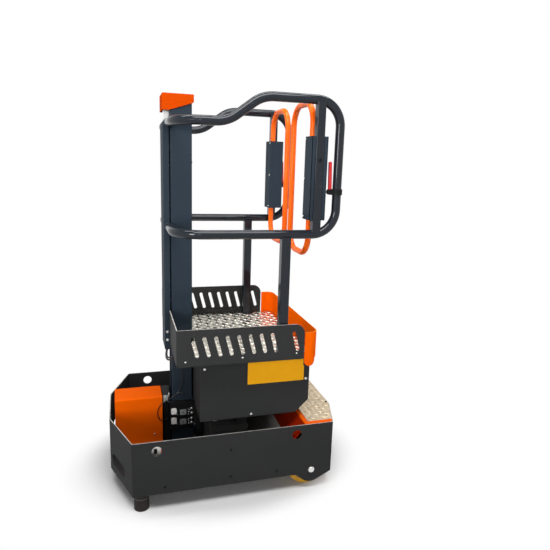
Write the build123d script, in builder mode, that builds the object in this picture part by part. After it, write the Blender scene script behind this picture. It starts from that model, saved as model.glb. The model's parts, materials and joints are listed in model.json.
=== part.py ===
from build123d import *
import os
from math import acos, atan2, cos, degrees, hypot, radians, sin, tan

# Semi-electric order picker: a chassis tray with a telescopic mast that lifts a guarded work platform.
# The origin is on the floor under the middle of the chassis, +X points to the rear, where the gates are,
# +Z points up, and the left side is at -Y. All sizes are in millimetres.

# Chassis tray
chassis_length = 1036.0
chassis_width = 762.0
chassis_top = 325.0
chassis_bottom = 80.0
chassis_sheet = 4.0
chassis_bend = 8.0
front_face_width = 260.0
front_taper = 91.0
rear_face_width = 402.0
rear_taper = 53.0
floor_sheet = 5.0
hand_hole_length = 155.0
hand_hole_height = 58.0
hand_hole_centre = 144.0
hand_hole_shift = 34.0
side_hole_diameter = 44.0
side_hole_centre = 281.0
side_hole_front_x = -326.0
side_hole_rear_x = 292.0

# Rear wheels on stub axles
wheel_diameter = 200.0
wheel_width = 45.0
wheel_face_inset = 46.0
wheel_well_room = 12.0
tyre_thickness = 22.0
tyre_edge = 5.0
hub_recess = 8.0
hub_boss_wall = 12.0
axle_from_rear = 151.0
axle_diameter = 20.0
axle_shoulder = 7.0
axle_head_diameter = 30.0
axle_head_height = 9.0
wheel_bracket_sheet = 8.0
wheel_bracket_gap = 14.0
wheel_bracket_length = 80.0
wheel_bracket_height = 90.0
panel_lobe_radius = 62.0
fixed_clearance = 0.1
running_clearance = 0.05
axial_clearance = 0.4

# Swivel castors under the front of the tray
castor_wheel_diameter = 75.0
castor_wheel_width = 28.0
castor_headroom = 30.0
castor_wheel_gap = 4.0
castor_trail = 26.0
castor_from_front = 138.0
castor_track_width = 360.0
castor_arm_sheet = 4.0
castor_arm_gap = 6.0
castor_arm_eye = 13.0
castor_crown_diameter = 56.0
castor_kingpin_diameter = 14.0
castor_axle_diameter = 10.0
castor_axle_head = 3.0
castor_plate_length = 90.0
castor_plate_sheet = 5.0
castor_race_height = 7.0

# Brake feet beside the castors
foot_diameter = 64.0
foot_from_front = 127.0
foot_inset = 41.0
foot_travel_room = 19.0
foot_chamfer = 3.0
foot_stem_diameter = 36.0
foot_guide_wall = 8.0
foot_guide_height = 50.0
foot_guide_flange = 8.0
foot_guide_flange_sheet = 6.0
foot_stem_rise = 12.0

# Fixed mast with its foot
mast_from_front = 286.0
mast_depth = 94.0
mast_width = 140.0
mast_wall = 6.0
mast_corner = 6.0
mast_slot_width = 80.0
mast_top = 1725.0
mast_plate_sheet = 12.0
mast_plate_width = 280.0
mast_plate_overhang = 6.0
mast_plate_rear = 40.0
cheek_sheet = 6.0
cheek_overhang = 3.0
cheek_top = 366.0
cheek_tab_height = 29.0
cheek_tab_start = 6.0
cheek_tab_length = 54.0
cheek_tab_slant = 14.0

# Inner mast, its glide pads and the lift cylinder
lift_stroke = 1000.0
pad_space = 6.0
pad_length = 80.0
pad_clearance = 0.3
pad_end_gap = 5.0
pad_edge_gap = 8.0
inner_mast_wall = 5.0
inner_mast_foot_gap = 12.0
tongue_width = 64.0
head_plate_sheet = 8.0
barrel_room = 7.0
barrel_wall = 4.0
barrel_end = 20.0
barrel_overlap = 330.0
rod_diameter = 28.0
piston_height = 40.0
piston_start = 30.0
gland_height = 30.0

# Mast cap
cap_rise = 25.0
cap_front_drop = 69.0
cap_front_flat = 28.0
cap_rear_drop = 31.0
cap_rear_step = 6.0
cap_rear_flat = 10.0
cap_overhang_front = 1.0
cap_overhang_rear = 8.0
cap_side_gap = 2.5
cap_sheet = 2.5
cap_edge = 4.0

# Carriage column in front of the mast
carriage_gap = 6.0
carriage_depth = 25.0
carriage_side_step = 2.0
carriage_sheet = 6.0
carriage_drop = 35.0
carriage_rise = 15.0
carriage_toe = 18.0

# Work platform
platform_height = 650.0
platform_width = 756.0
tread_sheet = 5.0
tray_sheet = 5.0
tray_flange_sheet = 4.0
tray_flange_height = 30.0
tray_flange_inset = 8.0
tray_side_gap = 3.0
mast_notch_gap = 10.0
kick_sheet = 4.0
kick_height = 151.0
kick_rear_x = 308.0
kick_corner = 45.0
kick_bend = 6.0
slot_front_margin = 70.5
slot_pitch = 48.5
slot_height = 89.0
slot_width = 16.0
slot_lean = 14.6
slot_centre = 74.0
slot_end_margin = 35.0

# Rear guard of the platform
guard_sheet = 3.0
guard_gap = 4.0
guard_rear_x = 376.0
guard_corner = 40.0
guard_height = 110.0
guard_ear_width = 52.0
guard_ear_drop = 46.0
guard_tab_width = 20.0
guard_tab_drop = 34.0
guard_tab_sheet = 6.0

# Guard rails and posts
rail_diameter = 38.0
rail_inset = 36.0
rail_height = 1100.0
rail_drop = 104.0
mid_rail_height = 535.0
rail_rear_x = 435.0
rail_corner = 103.0
rail_elbow = 130.0
rail_ramp_front_x = -37.0
rail_ramp_rear_x = 102.0
rail_ramp_bend = 140.0
rail_from_mast = 7.0
rail_post_size = 40.0
rail_post_x = 216.0
rail_post_seat = 8.0
rail_post_notch_gap = 1.0
gate_post_size = 36.0
gate_post_x = 346.0
post_corner = 4.0

# Gates with their housings
gate_tube_diameter = 26.0
gate_top = 1090.0
gate_bottom = 425.0
gate_corner = 88.0
gate_middle_gap = 90.0
gate_setback = 14.0
gate_collar_wall = 5.0
gate_collar_height = 10.0
housing_sheet = 3.0
housing_width = 70.0
housing_height = 343.0
housing_rise = 60.0
housing_reach = 13.0
hinge_room = 51.0
hinge_block_height = 24.0
hinge_block_margin = 28.0

# Release levers on the rear grips
lever_pivot_height = 714.0
lever_length = 118.0
lever_thickness = 14.0
lever_foot_radius = 7.0
lever_tip_radius = 6.5
lever_lean = 4.0
lever_pivot_reach = 32.0
lever_pin_diameter = 8.0
clamp_wall = 4.0
clamp_height = 24.0
clamp_ear_gap = 0.5
clamp_ear_sheet = 4.0

# Control box under the right rail
control_box_from_rail = 84.0
control_box_width = 60.0
control_box_depth = 60.0
control_box_drop = 118.0
control_box_edge = 6.0
button_diameter = 22.0
button_height = 8.0
button_root = 8.0
button_travel_room = 6.0
button_spacing = 34.0
button_first_drop = 44.0
stop_head_diameter = 34.0
stop_head_height = 10.0
stop_stem_diameter = 16.0
stop_stem_gap = 6.0

# Equipment box under the platform
box_gap = 6.0
box_inset = 78.0
box_rear_x = 367.0
box_sheet = 2.0
box_chamfer_length = 60.0
box_chamfer_height = 57.0
box_headroom = 52.0

# Batteries, power pack and valve block
battery_length = 260.0
battery_width = 172.0
battery_height = 190.0
battery_plate_gap = 18.0
battery_gap = 10.0
battery_lid = 26.0
battery_lid_margin = 4.0
battery_edge = 6.0
motor_diameter = 90.0
motor_length = 170.0
motor_end_gap = 22.0
motor_foot_height = 12.0
motor_foot_length = 24.0
motor_foot_width = 70.0
tank_gap_front = 4.0
tank_gap_rear = 8.0
tank_width = 104.0
tank_top = 385.0
tank_edge = 6.0
valve_depth = 20.0
valve_front_reach = 8.0
valve_height = 143.0
valve_top_gap = 8.0
valve_edge = 2.0
coil_width = 25.0
coil_height = 30.0
coil_corner = 6.0
coil_rise = 8.0
plug_width = 30.0
plug_height = 26.0
plug_corner = 2.0
cap_depth = 6.0
coil_from_edge = 15.0
plug_from_edge = 58.0
valve_row_first = 52.0
valve_row_spacing = 49.0

# Front cover
cover_setback = 24.0
cover_length = 215.0
cover_width = 136.0
cover_top = 380.0
cover_sheet = 2.5
cover_bend = 6.0

# Rear step
step_front_x = 336.0
step_sheet = 3.0
step_tread_sheet = 4.0
step_tread_front = 14.0
step_tread_rear_inset = 3.0
step_tread_side_inset = 25.0
step_slope = 51.0
step_flange_height = 40.0

# Control cables from the carriage's foot to the equipment box
cable_diameter = 8.0
cable_routes = [
    [(-248, -40, 652), (-250, -41, 618), (-259, -54, 587), (-258, -85, 571),
     (-243, -111, 577), (-212, -126, 592), (-170, -130, 600), (-132, -130, 600)],
    [(-247, -55, 652), (-249, -56, 622), (-257, -68, 597), (-256, -94, 584),
     (-243, -118, 591), (-212, -136, 606), (-170, -141, 614), (-132, -141, 614)],
]

# Thin cable from the mast's side over the front cover to the oil tank
mast_cable_diameter = 4.0
mast_cable_route = [
    (-181, -70, 622), (-181, -83, 622), (-181, -93, 611), (-182, -94, 594), (-182, -90, 570),
    (-182, -85, 532), (-183, -81, 494), (-186, -80, 458), (-192, -79, 424), (-206, -80, 400),
    (-225, -81, 384), (-244, -80, 371), (-263, -78, 360), (-281, -75, 349), (-297, -73, 329),
    (-303, -73, 302), (-298, -74, 277), (-283, -76, 260), (-266, -73, 256), (-258, -63, 257),
    (-258, -52, 257),
]

# Places that follow from the sizes above
SIDES = {"left": -1, "right": 1}
half_length = chassis_length / 2
half_width = chassis_width / 2
inner_wall_y = half_width - chassis_sheet
side_front_x = front_taper - half_length
side_rear_x = half_length - rear_taper
axle_x = half_length - axle_from_rear
axle_z = wheel_diameter / 2
wheel_outer_y = half_width - wheel_face_inset
wheel_inner_y = wheel_outer_y - wheel_width
bracket_outer_y = wheel_inner_y - wheel_bracket_gap
bracket_inner_y = bracket_outer_y - wheel_bracket_sheet
floor_under_z = castor_wheel_diameter + castor_headroom
floor_z = floor_under_z + floor_sheet
castor_x = castor_from_front - half_length
castor_y = castor_track_width / 2
castor_race_z = floor_under_z - castor_plate_sheet - castor_race_height
castor_crown_z = castor_wheel_diameter + castor_wheel_gap
foot_x = foot_from_front - half_length
foot_y = half_width - foot_inset
foot_top_z = floor_under_z - foot_travel_room
foot_guide_radius = foot_stem_diameter / 2 + foot_guide_wall
mast_front_x = mast_from_front - half_length
mast_rear_x = mast_front_x + mast_depth
mast_x = mast_front_x + mast_depth / 2
mast_plate_rear_x = mast_rear_x + mast_plate_rear
mast_foot_z = floor_z + mast_plate_sheet
inner_depth = mast_depth - 2 * (mast_wall + pad_space)
inner_width = mast_width - 2 * (mast_wall + pad_space)
cap_top = mast_top + cap_rise
head_top = cap_top - cap_sheet
barrel_diameter = inner_depth - 2 * (inner_mast_wall + barrel_room)
barrel_bore = barrel_diameter - 2 * barrel_wall
carriage_rear_x = mast_front_x - carriage_gap
carriage_front_x = carriage_rear_x - carriage_depth
carriage_web_x = carriage_front_x + carriage_sheet
carriage_bottom = platform_height - carriage_drop
carriage_half_width = mast_width / 2 + carriage_side_step
rail_y = platform_width / 2 - rail_inset
high_rail_z = platform_height + rail_height - rail_diameter / 2
low_rail_z = high_rail_z - rail_drop
mid_rail_z = platform_height + mid_rail_height
rail_front_x = mast_front_x - rail_from_mast
control_box_front_x = rail_front_x + control_box_from_rail
carriage_top = low_rail_z + carriage_rise
kick_outer_y = platform_width / 2
kick_inner_y = kick_outer_y - kick_sheet
tray_top_z = platform_height - tread_sheet
tray_under_z = tray_top_z - tray_sheet
guard_front_x = kick_rear_x + guard_gap
guard_inner_y = kick_inner_y - guard_sheet
tray_y = kick_inner_y - tray_side_gap
post_inner_y = rail_y - gate_post_size / 2
housing_outer_y = rail_y + housing_reach
housing_web_y = post_inner_y - hinge_room
hinge_y = (housing_web_y + post_inner_y) / 2
housing_bottom = mid_rail_z + housing_rise
gate_x = gate_post_x - gate_setback
gate_radius = gate_tube_diameter / 2
gate_low_z = platform_height + gate_bottom + gate_radius
gate_high_z = platform_height + gate_top - gate_radius
hinge_block_low_z = housing_bottom + hinge_block_margin
hinge_block_high_z = housing_bottom + housing_height - hinge_block_margin - hinge_block_height
lever_x = rail_rear_x - lever_pivot_reach
lever_z = platform_height + lever_pivot_height
control_face_y = rail_y - control_box_depth / 2
box_front_x = mast_rear_x + box_gap
box_bottom = floor_z + battery_height + box_headroom
box_half_width = platform_width / 2 - box_inset
cover_front_x = cover_setback - half_length
cover_rear_x = cover_front_x + cover_length
step_top_z = chassis_top
valve_face_y = mast_width / 2 + cheek_sheet + valve_depth
valve_top = cheek_top - valve_top_gap
valve_front_x = mast_front_x - cheek_overhang - valve_front_reach
valve_rear_x = mast_rear_x + cheek_overhang


def save(piece, label):
    """Label a finished piece and write it."""
    piece.part.label = label
    export_step(piece.part, f"parts/{label}.step")


def side_plane(side, inner, outer):
    """Upright plane from which a wall between two distances from the middle is extruded."""
    return Plane.XZ.offset(inner if side < 0 else -outer)


def plan_corners():
    """The eight corners of the chassis plan, in order."""
    front = front_face_width / 2
    rear = rear_face_width / 2
    return [
        Vector(-half_length, -front),
        Vector(side_front_x, -half_width),
        Vector(side_rear_x, -half_width),
        Vector(half_length, -rear),
        Vector(half_length, rear),
        Vector(side_rear_x, half_width),
        Vector(side_front_x, half_width),
        Vector(-half_length, front),
    ]


def chassis_plan():
    """Eight-sided plan of the chassis, drawn into the current sketch."""
    Polygon(*plan_corners(), align=None)


def corner_seams():
    """Thin cuts through the plan's corners, where wall meets wall, drawn into the current sketch."""
    corners = plan_corners()
    for index, corner in enumerate(corners):
        before = (corners[index - 1] - corner).normalized()
        after = (corners[(index + 1) % len(corners)] - corner).normalized()
        inward = before + after
        with Locations(corner):
            Rectangle(2 * chassis_bend, fixed_clearance, rotation=degrees(atan2(inward.Y, inward.X)))


def lobe_tangent():
    """Point where the line from the panel's rear lower corner touches the lobe round the axle."""
    reach = hypot(side_rear_x - axle_x, chassis_bottom - axle_z)
    corner_angle = atan2(chassis_bottom - axle_z, side_rear_x - axle_x)
    angle = corner_angle - acos(panel_lobe_radius / reach)
    return (axle_x + panel_lobe_radius * cos(angle), axle_z + panel_lobe_radius * sin(angle))


def hand_hole_plane(side):
    """Plane on the tapered front wall of one side, with its X along the wall."""
    rear_end = Vector(side_front_x, side * half_width, hand_hole_centre)
    front_end = Vector(-half_length, side * front_face_width / 2, hand_hole_centre)
    along = (front_end - rear_end).normalized()
    middle = (rear_end + front_end) / 2 + along * hand_hole_shift
    return Plane(middle, x_dir=along, z_dir=along.cross(Vector(0, 0, 1)))


def across(side, z, x=0.0):
    """Plane whose normal points out of the machine on one side, at a point of the middle plane."""
    return Plane((x, 0, z), x_dir=(1, 0, 0), z_dir=(0, side, 0))


def chassis_tray():
    """Eight walls welded at the corners, with hand holes, and a floor with wheel wells and wheel brackets."""
    well_length = wheel_diameter + 2 * wheel_well_room
    well_inner_y = bracket_inner_y - fixed_clearance
    well_width = inner_wall_y - well_inner_y
    with BuildPart() as tray:
        with BuildSketch(Plane.XY.offset(chassis_bottom)) as walls:
            chassis_plan()
            fillet(walls.vertices(), chassis_bend)
            offset(amount=-chassis_sheet, kind=Kind.INTERSECTION, mode=Mode.SUBTRACT)
        extrude(amount=chassis_top - chassis_bottom)
        for side in SIDES.values():
            with BuildSketch(side_plane(side, inner_wall_y, half_width)):
                with Locations((axle_x, axle_z)):
                    Circle(panel_lobe_radius)
                Polygon(lobe_tangent(), (side_rear_x, chassis_bottom), (axle_x, axle_z), align=None)
            extrude(amount=chassis_sheet)
        with BuildSketch():
            corner_seams()
        extrude(amount=chassis_top, mode=Mode.SUBTRACT)
        with BuildSketch(Plane.XY.offset(floor_under_z)) as floor:
            chassis_plan()
            fillet(floor.vertices(), chassis_bend)
            offset(amount=-chassis_sheet - fixed_clearance, kind=Kind.INTERSECTION, mode=Mode.REPLACE)
            for side in SIDES.values():
                with Locations((axle_x, side * (well_inner_y + well_width / 2))):
                    Rectangle(well_length + 2 * fixed_clearance, well_width, mode=Mode.SUBTRACT)
                with Locations((foot_x, side * foot_y)):
                    Circle(foot_guide_radius + fixed_clearance, mode=Mode.SUBTRACT)
        extrude(amount=floor_sheet)
        for side in SIDES.values():
            with BuildSketch(side_plane(side, bracket_inner_y, bracket_outer_y)):
                with Locations((axle_x, axle_z)):
                    RectangleRounded(wheel_bracket_length, wheel_bracket_height, wheel_bracket_sheet)
                with Locations((axle_x, floor_under_z + floor_sheet / 2)):
                    Rectangle(well_length, floor_sheet)
            extrude(amount=wheel_bracket_sheet)
            with BuildSketch(hand_hole_plane(side)):
                SlotOverall(hand_hole_length, hand_hole_height)
            extrude(amount=2 * chassis_sheet, both=True, mode=Mode.SUBTRACT)
            with BuildSketch(across(side, axle_z, axle_x).offset(bracket_inner_y)):
                Circle(axle_diameter / 2 + fixed_clearance)
            extrude(amount=half_width - bracket_inner_y, mode=Mode.SUBTRACT)
        with Locations((side_hole_front_x, 0, side_hole_centre), (side_hole_rear_x, 0, side_hole_centre)):
            Cylinder(side_hole_diameter / 2, 2 * chassis_width, rotation=(90, 0, 0), mode=Mode.SUBTRACT)
    return tray


def stub_axles():
    """Two shouldered axles, each with a domed head outside the side panel."""
    with BuildPart() as axles:
        for side in SIDES.values():
            middle = across(side, axle_z, axle_x)
            with BuildSketch(middle.offset(bracket_inner_y)):
                Circle(axle_diameter / 2)
            extrude(amount=half_width - bracket_inner_y)
            for start, end in (
                (bracket_outer_y, wheel_inner_y - axial_clearance),
                (wheel_outer_y + axial_clearance, inner_wall_y),
            ):
                with BuildSketch(middle.offset(start)):
                    Circle(axle_diameter / 2 + axle_shoulder)
                extrude(amount=end - start)
            with BuildSketch(middle.offset(half_width)):
                Circle(axle_head_diameter / 2)
            extrude(amount=axle_head_height)
            rim = axles.edges().filter_by(GeomType.CIRCLE).sort_by(Axis.Y)[0 if side < 0 else -1]
            fillet(rim, axle_head_height / 2)
    return axles


def rear_tyre(side):
    """Polyurethane tyre with rounded edges."""
    with BuildPart() as tyre:
        with BuildSketch(across(side, axle_z, axle_x).offset(wheel_inner_y)):
            Circle(wheel_diameter / 2)
            Circle(wheel_diameter / 2 - tyre_thickness, mode=Mode.SUBTRACT)
        extrude(amount=wheel_width)
        rims = tyre.edges().filter_by(GeomType.CIRCLE).sort_by(SortBy.RADIUS)[-2:]
        fillet(rims, tyre_edge)
    return tyre


def rear_hub(side):
    """Cast hub with a recess on each face and a boss round the axle."""
    rim_radius = wheel_diameter / 2 - tyre_thickness
    boss_radius = axle_diameter / 2 + hub_boss_wall
    middle = across(side, axle_z, axle_x)
    with BuildPart() as hub:
        with BuildSketch(middle.offset(wheel_inner_y)):
            Circle(rim_radius)
            Circle(axle_diameter / 2 + running_clearance, mode=Mode.SUBTRACT)
        extrude(amount=wheel_width)
        for start in (wheel_inner_y, wheel_outer_y - hub_recess):
            with BuildSketch(middle.offset(start)):
                Circle(rim_radius - hub_recess)
                Circle(boss_radius, mode=Mode.SUBTRACT)
            extrude(amount=hub_recess, mode=Mode.SUBTRACT)
    return hub


def castor_mounts():
    """Two head plates with their races and kingpins, screwed under the tray's floor."""
    with BuildPart() as mounts:
        for side in SIDES.values():
            with BuildSketch(Plane.XY.offset(floor_under_z - castor_plate_sheet)):
                with Locations((castor_x, side * castor_y)):
                    RectangleRounded(castor_plate_length, castor_plate_length, castor_plate_sheet)
            extrude(amount=castor_plate_sheet)
            with BuildSketch(Plane.XY.offset(castor_race_z)):
                with Locations((castor_x, side * castor_y)):
                    Circle(castor_crown_diameter / 2)
            extrude(amount=castor_race_height)
            with BuildSketch(Plane.XY.offset(castor_crown_z)):
                with Locations((castor_x, side * castor_y)):
                    Circle(castor_kingpin_diameter / 2)
            extrude(amount=castor_race_z - castor_crown_z)
    return mounts


def castor_fork(side):
    """Swivel fork: a crown round the kingpin, two arms and the wheel's axle."""
    arm_inner = castor_wheel_width / 2 + castor_arm_gap
    arm_outer = arm_inner + castor_arm_sheet
    axle_height = castor_wheel_diameter / 2
    crown_height = castor_race_z - axial_clearance - castor_crown_z
    middle_y = side * castor_y
    with BuildPart() as fork:
        with BuildSketch(Plane.XY.offset(castor_crown_z)):
            with Locations((castor_x, middle_y)):
                Circle(castor_crown_diameter / 2)
                Circle(castor_kingpin_diameter / 2 + running_clearance, mode=Mode.SUBTRACT)
        extrude(amount=crown_height)
        for start in (arm_inner - middle_y, -arm_outer - middle_y):
            with BuildSketch(Plane.XZ.offset(start)):
                with Locations((castor_x + castor_trail, axle_height)):
                    Circle(castor_arm_eye)
                with Locations((castor_x, castor_crown_z + crown_height / 2)):
                    Rectangle(castor_crown_diameter / 2, crown_height)
                make_hull()
            extrude(amount=castor_arm_sheet)
        with Locations((castor_x + castor_trail, middle_y, axle_height)):
            Cylinder(castor_axle_diameter / 2, 2 * (arm_outer + castor_axle_head), rotation=(90, 0, 0))
    return fork


def castor_wheel(side):
    """Small wheel with bosses that reach to the fork's arms."""
    boss_half = castor_wheel_width / 2 + castor_arm_gap - axial_clearance
    place = Location((castor_x + castor_trail, side * castor_y, castor_wheel_diameter / 2))
    with BuildPart() as wheel:
        with Locations(place):
            Cylinder(castor_wheel_diameter / 2, castor_wheel_width, rotation=(90, 0, 0))
        rims = wheel.edges().filter_by(GeomType.CIRCLE)
        fillet(rims, castor_wheel_width / 8)
        with Locations(place):
            Cylinder(castor_axle_diameter, 2 * boss_half, rotation=(90, 0, 0))
            Cylinder(
                castor_axle_diameter / 2 + running_clearance,
                4 * boss_half,
                rotation=(90, 0, 0),
                mode=Mode.SUBTRACT,
            )
    return wheel


def foot_guides():
    """Flanged sleeves in the tray's floor that guide the brake feet."""
    with BuildPart() as guides:
        for side in SIDES.values():
            with BuildSketch(Plane.XY.offset(floor_z)):
                with Locations((foot_x, side * foot_y)):
                    Circle(foot_guide_radius + foot_guide_flange)
            extrude(amount=foot_guide_flange_sheet)
            with BuildSketch(Plane.XY.offset(floor_under_z)):
                with Locations((foot_x, side * foot_y)):
                    Circle(foot_guide_radius)
            extrude(amount=floor_sheet + foot_guide_height)
            with Locations((foot_x, side * foot_y, floor_z)):
                Cylinder(
                    foot_stem_diameter / 2 + running_clearance, 4 * foot_guide_height, mode=Mode.SUBTRACT
                )
    return guides


def brake_foot(side):
    """Black foot that stands on the floor, on a stem that runs in its guide."""
    stem_top = floor_z + foot_guide_height + foot_stem_rise
    with BuildPart() as foot:
        with BuildSketch():
            with Locations((foot_x, side * foot_y)):
                Circle(foot_diameter / 2)
        extrude(amount=foot_top_z)
        chamfer(foot.edges().filter_by(GeomType.CIRCLE), foot_chamfer)
        with BuildSketch(Plane.XY.offset(foot_top_z)):
            with Locations((foot_x, side * foot_y)):
                Circle(foot_stem_diameter / 2)
        extrude(amount=stem_top - foot_top_z)
    return foot


def mast_foot():
    """Base plate with a cheek plate on each side of the mast; each cheek ends in a tapered tab."""
    front_x = mast_front_x - mast_plate_overhang
    rear_x = mast_plate_rear_x
    cheek_front_x = mast_front_x - cheek_overhang
    cheek_rear_x = mast_rear_x + cheek_overhang
    tab_front_x = mast_front_x + cheek_tab_start
    tab_rear_x = tab_front_x + cheek_tab_length
    tab_top = cheek_top + cheek_tab_height
    with BuildPart() as foot:
        with BuildSketch(Plane.XY.offset(floor_z)):
            with Locations(((front_x + rear_x) / 2, 0)):
                Rectangle(rear_x - front_x, mast_plate_width)
        extrude(amount=mast_plate_sheet)
        for side in SIDES.values():
            with BuildSketch(side_plane(side, mast_width / 2, mast_width / 2 + cheek_sheet)):
                Polygon(
                    (cheek_front_x, mast_foot_z),
                    (cheek_rear_x, mast_foot_z),
                    (cheek_rear_x, cheek_top),
                    (tab_rear_x, cheek_top),
                    (tab_rear_x - cheek_tab_slant, tab_top),
                    (tab_front_x + cheek_tab_slant, tab_top),
                    (tab_front_x, cheek_top),
                    (cheek_front_x, cheek_top),
                    align=None,
                )
            extrude(amount=cheek_sheet)
    return foot


def mast_column():
    """Open-fronted mast profile with front lips."""
    with BuildPart() as column:
        with BuildSketch(Plane.XY.offset(mast_foot_z)):
            with Locations((mast_x, 0)):
                RectangleRounded(mast_depth, mast_width, mast_corner)
                Rectangle(mast_depth - 2 * mast_wall, mast_width - 2 * mast_wall, mode=Mode.SUBTRACT)
            with Locations((mast_front_x, 0)):
                Rectangle(3 * mast_wall, mast_slot_width, mode=Mode.SUBTRACT)
        extrude(amount=mast_top - mast_foot_z)
    return column


def pad_ring(depth, width, gap_inside, gap_outside):
    """Plan of the glide pads between the two mast profiles, drawn into the current sketch."""
    thickness = pad_space - gap_inside - gap_outside
    reach_x = depth / 2 - gap_outside - thickness / 2
    reach_y = width / 2 - gap_outside - thickness / 2
    side_length = depth - 2 * (pad_space + pad_edge_gap)
    front_length = (width - mast_slot_width) / 2 - pad_space - pad_edge_gap
    front_y = mast_slot_width / 2 + pad_edge_gap / 2 + front_length / 2
    with Locations((mast_x, reach_y), (mast_x, -reach_y)):
        Rectangle(side_length, thickness)
    with Locations(
        (mast_x - reach_x, front_y),
        (mast_x - reach_x, -front_y),
        (mast_x + reach_x, front_y),
        (mast_x + reach_x, -front_y),
    ):
        Rectangle(thickness, front_length)


def mast_guide_pads():
    """Glide pads fixed inside the head of the fixed mast."""
    with BuildPart() as pads:
        with BuildSketch(Plane.XY.offset(mast_top - pad_end_gap - pad_length)):
            pad_ring(mast_depth - 2 * mast_wall, mast_width - 2 * mast_wall, pad_clearance, 0.0)
        extrude(amount=pad_length)
    return pads


def inner_guide_pads():
    """Glide pads fixed round the foot of the inner mast."""
    with BuildPart() as pads:
        with BuildSketch(Plane.XY.offset(mast_foot_z + inner_mast_foot_gap + pad_end_gap)):
            pad_ring(mast_depth - 2 * mast_wall, mast_width - 2 * mast_wall, 0.0, pad_clearance)
        extrude(amount=pad_length)
    return pads


def inner_mast():
    """Sliding box profile with a tongue through the mast's slot and a plate on its head."""
    foot = mast_foot_z + inner_mast_foot_gap
    front_x = mast_x - inner_depth / 2
    tongue_length = front_x - carriage_web_x
    plate_rear_x = mast_x + inner_depth / 2
    with BuildPart() as inner:
        with BuildSketch(Plane.XY.offset(foot)):
            with Locations((mast_x, 0)):
                Rectangle(inner_depth, inner_width)
                Rectangle(
                    inner_depth - 2 * inner_mast_wall, inner_width - 2 * inner_mast_wall, mode=Mode.SUBTRACT
                )
        extrude(amount=head_top - foot)
        with BuildSketch(Plane.XY.offset(carriage_bottom)):
            with Locations((front_x - tongue_length / 2, 0)):
                Rectangle(tongue_length, tongue_width)
            with Locations((front_x - (tongue_length - inner_mast_wall) / 2, 0)):
                Rectangle(
                    tongue_length - inner_mast_wall, tongue_width - 2 * inner_mast_wall, mode=Mode.SUBTRACT
                )
        extrude(amount=head_top - carriage_bottom)
        with BuildSketch(Plane.XY.offset(head_top - head_plate_sheet)):
            with Locations((mast_x, 0)):
                Rectangle(inner_depth, inner_width)
            with Locations(((carriage_web_x + plate_rear_x) / 2, 0)):
                Rectangle(plate_rear_x - carriage_web_x, tongue_width)
        extrude(amount=head_plate_sheet)
    return inner


def lift_cylinder():
    """Barrel of the lift cylinder, closed at its foot and with a gland at its head."""
    length = lift_stroke + barrel_overlap
    with BuildPart() as barrel:
        with BuildSketch(Plane.XY.offset(mast_foot_z)):
            with Locations((mast_x, 0)):
                Circle(barrel_diameter / 2)
        extrude(amount=length)
        with BuildSketch(Plane.XY.offset(mast_foot_z + barrel_end)):
            with Locations((mast_x, 0)):
                Circle(barrel_bore / 2)
        extrude(amount=length - barrel_end - gland_height, mode=Mode.SUBTRACT)
        with BuildSketch(Plane.XY.offset(mast_foot_z + length - gland_height)):
            with Locations((mast_x, 0)):
                Circle(rod_diameter / 2 + running_clearance)
        extrude(amount=gland_height, mode=Mode.SUBTRACT)
    return barrel


def piston_rod():
    """Rod with its piston, which pushes up the inner mast's head plate."""
    foot = mast_foot_z + barrel_end + piston_start
    with BuildPart() as rod:
        with BuildSketch(Plane.XY.offset(foot)):
            with Locations((mast_x, 0)):
                Circle(barrel_bore / 2 - running_clearance)
        extrude(amount=piston_height)
        with BuildSketch(Plane.XY.offset(foot)):
            with Locations((mast_x, 0)):
                Circle(rod_diameter / 2)
        extrude(amount=head_top - head_plate_sheet - foot)
    return rod


def mast_cap():
    """Sheet hood over the mast's head, deeper at the front than at the rear."""
    front_x = carriage_front_x - cap_overhang_front
    rear_x = mast_rear_x + cap_overhang_rear
    half = mast_width / 2 + cap_side_gap + cap_sheet
    front_low = cap_top - cap_front_drop
    rear_low = cap_top - cap_rear_drop
    with BuildPart() as cap:
        with BuildSketch(Plane.XZ):
            Polygon(
                (front_x, front_low),
                (front_x + cap_front_flat, front_low),
                (rear_x - cap_rear_flat, rear_low - cap_rear_step),
                (rear_x, rear_low),
                (rear_x, cap_top),
                (front_x, cap_top),
                align=None,
            )
        extrude(amount=half, both=True)
        fillet(cap.edges().filter_by(Axis.Z), cap_edge)
        fillet(cap.faces().sort_by(Axis.Z)[-1].edges(), cap_sheet)
        inside_length = rear_x - front_x - 2 * cap_sheet
        with Locations(((front_x + rear_x) / 2, 0, head_top - cap_front_drop / 2)):
            Box(inside_length, 2 * (half - cap_sheet), cap_front_drop, mode=Mode.SUBTRACT)
    return cap


def carriage_column():
    """Channel in front of the mast, open to the rear, with a rounded toe."""
    with BuildPart() as carriage:
        with BuildSketch(Plane.XZ) as profile:
            with Locations(((carriage_front_x + carriage_rear_x) / 2, (carriage_bottom + carriage_top) / 2)):
                Rectangle(carriage_depth, carriage_top - carriage_bottom)
            fillet(profile.vertices().group_by(Axis.Z)[0].sort_by(Axis.X)[0], carriage_toe)
        extrude(amount=carriage_half_width, both=True)
        with BuildSketch(Plane.XY.offset(carriage_bottom)):
            with Locations((carriage_rear_x - (carriage_depth - carriage_sheet) / 2, 0)):
                Rectangle(carriage_depth - carriage_sheet, 2 * (carriage_half_width - carriage_sheet))
        extrude(amount=carriage_top - carriage_bottom, mode=Mode.SUBTRACT)
    return carriage


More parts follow.
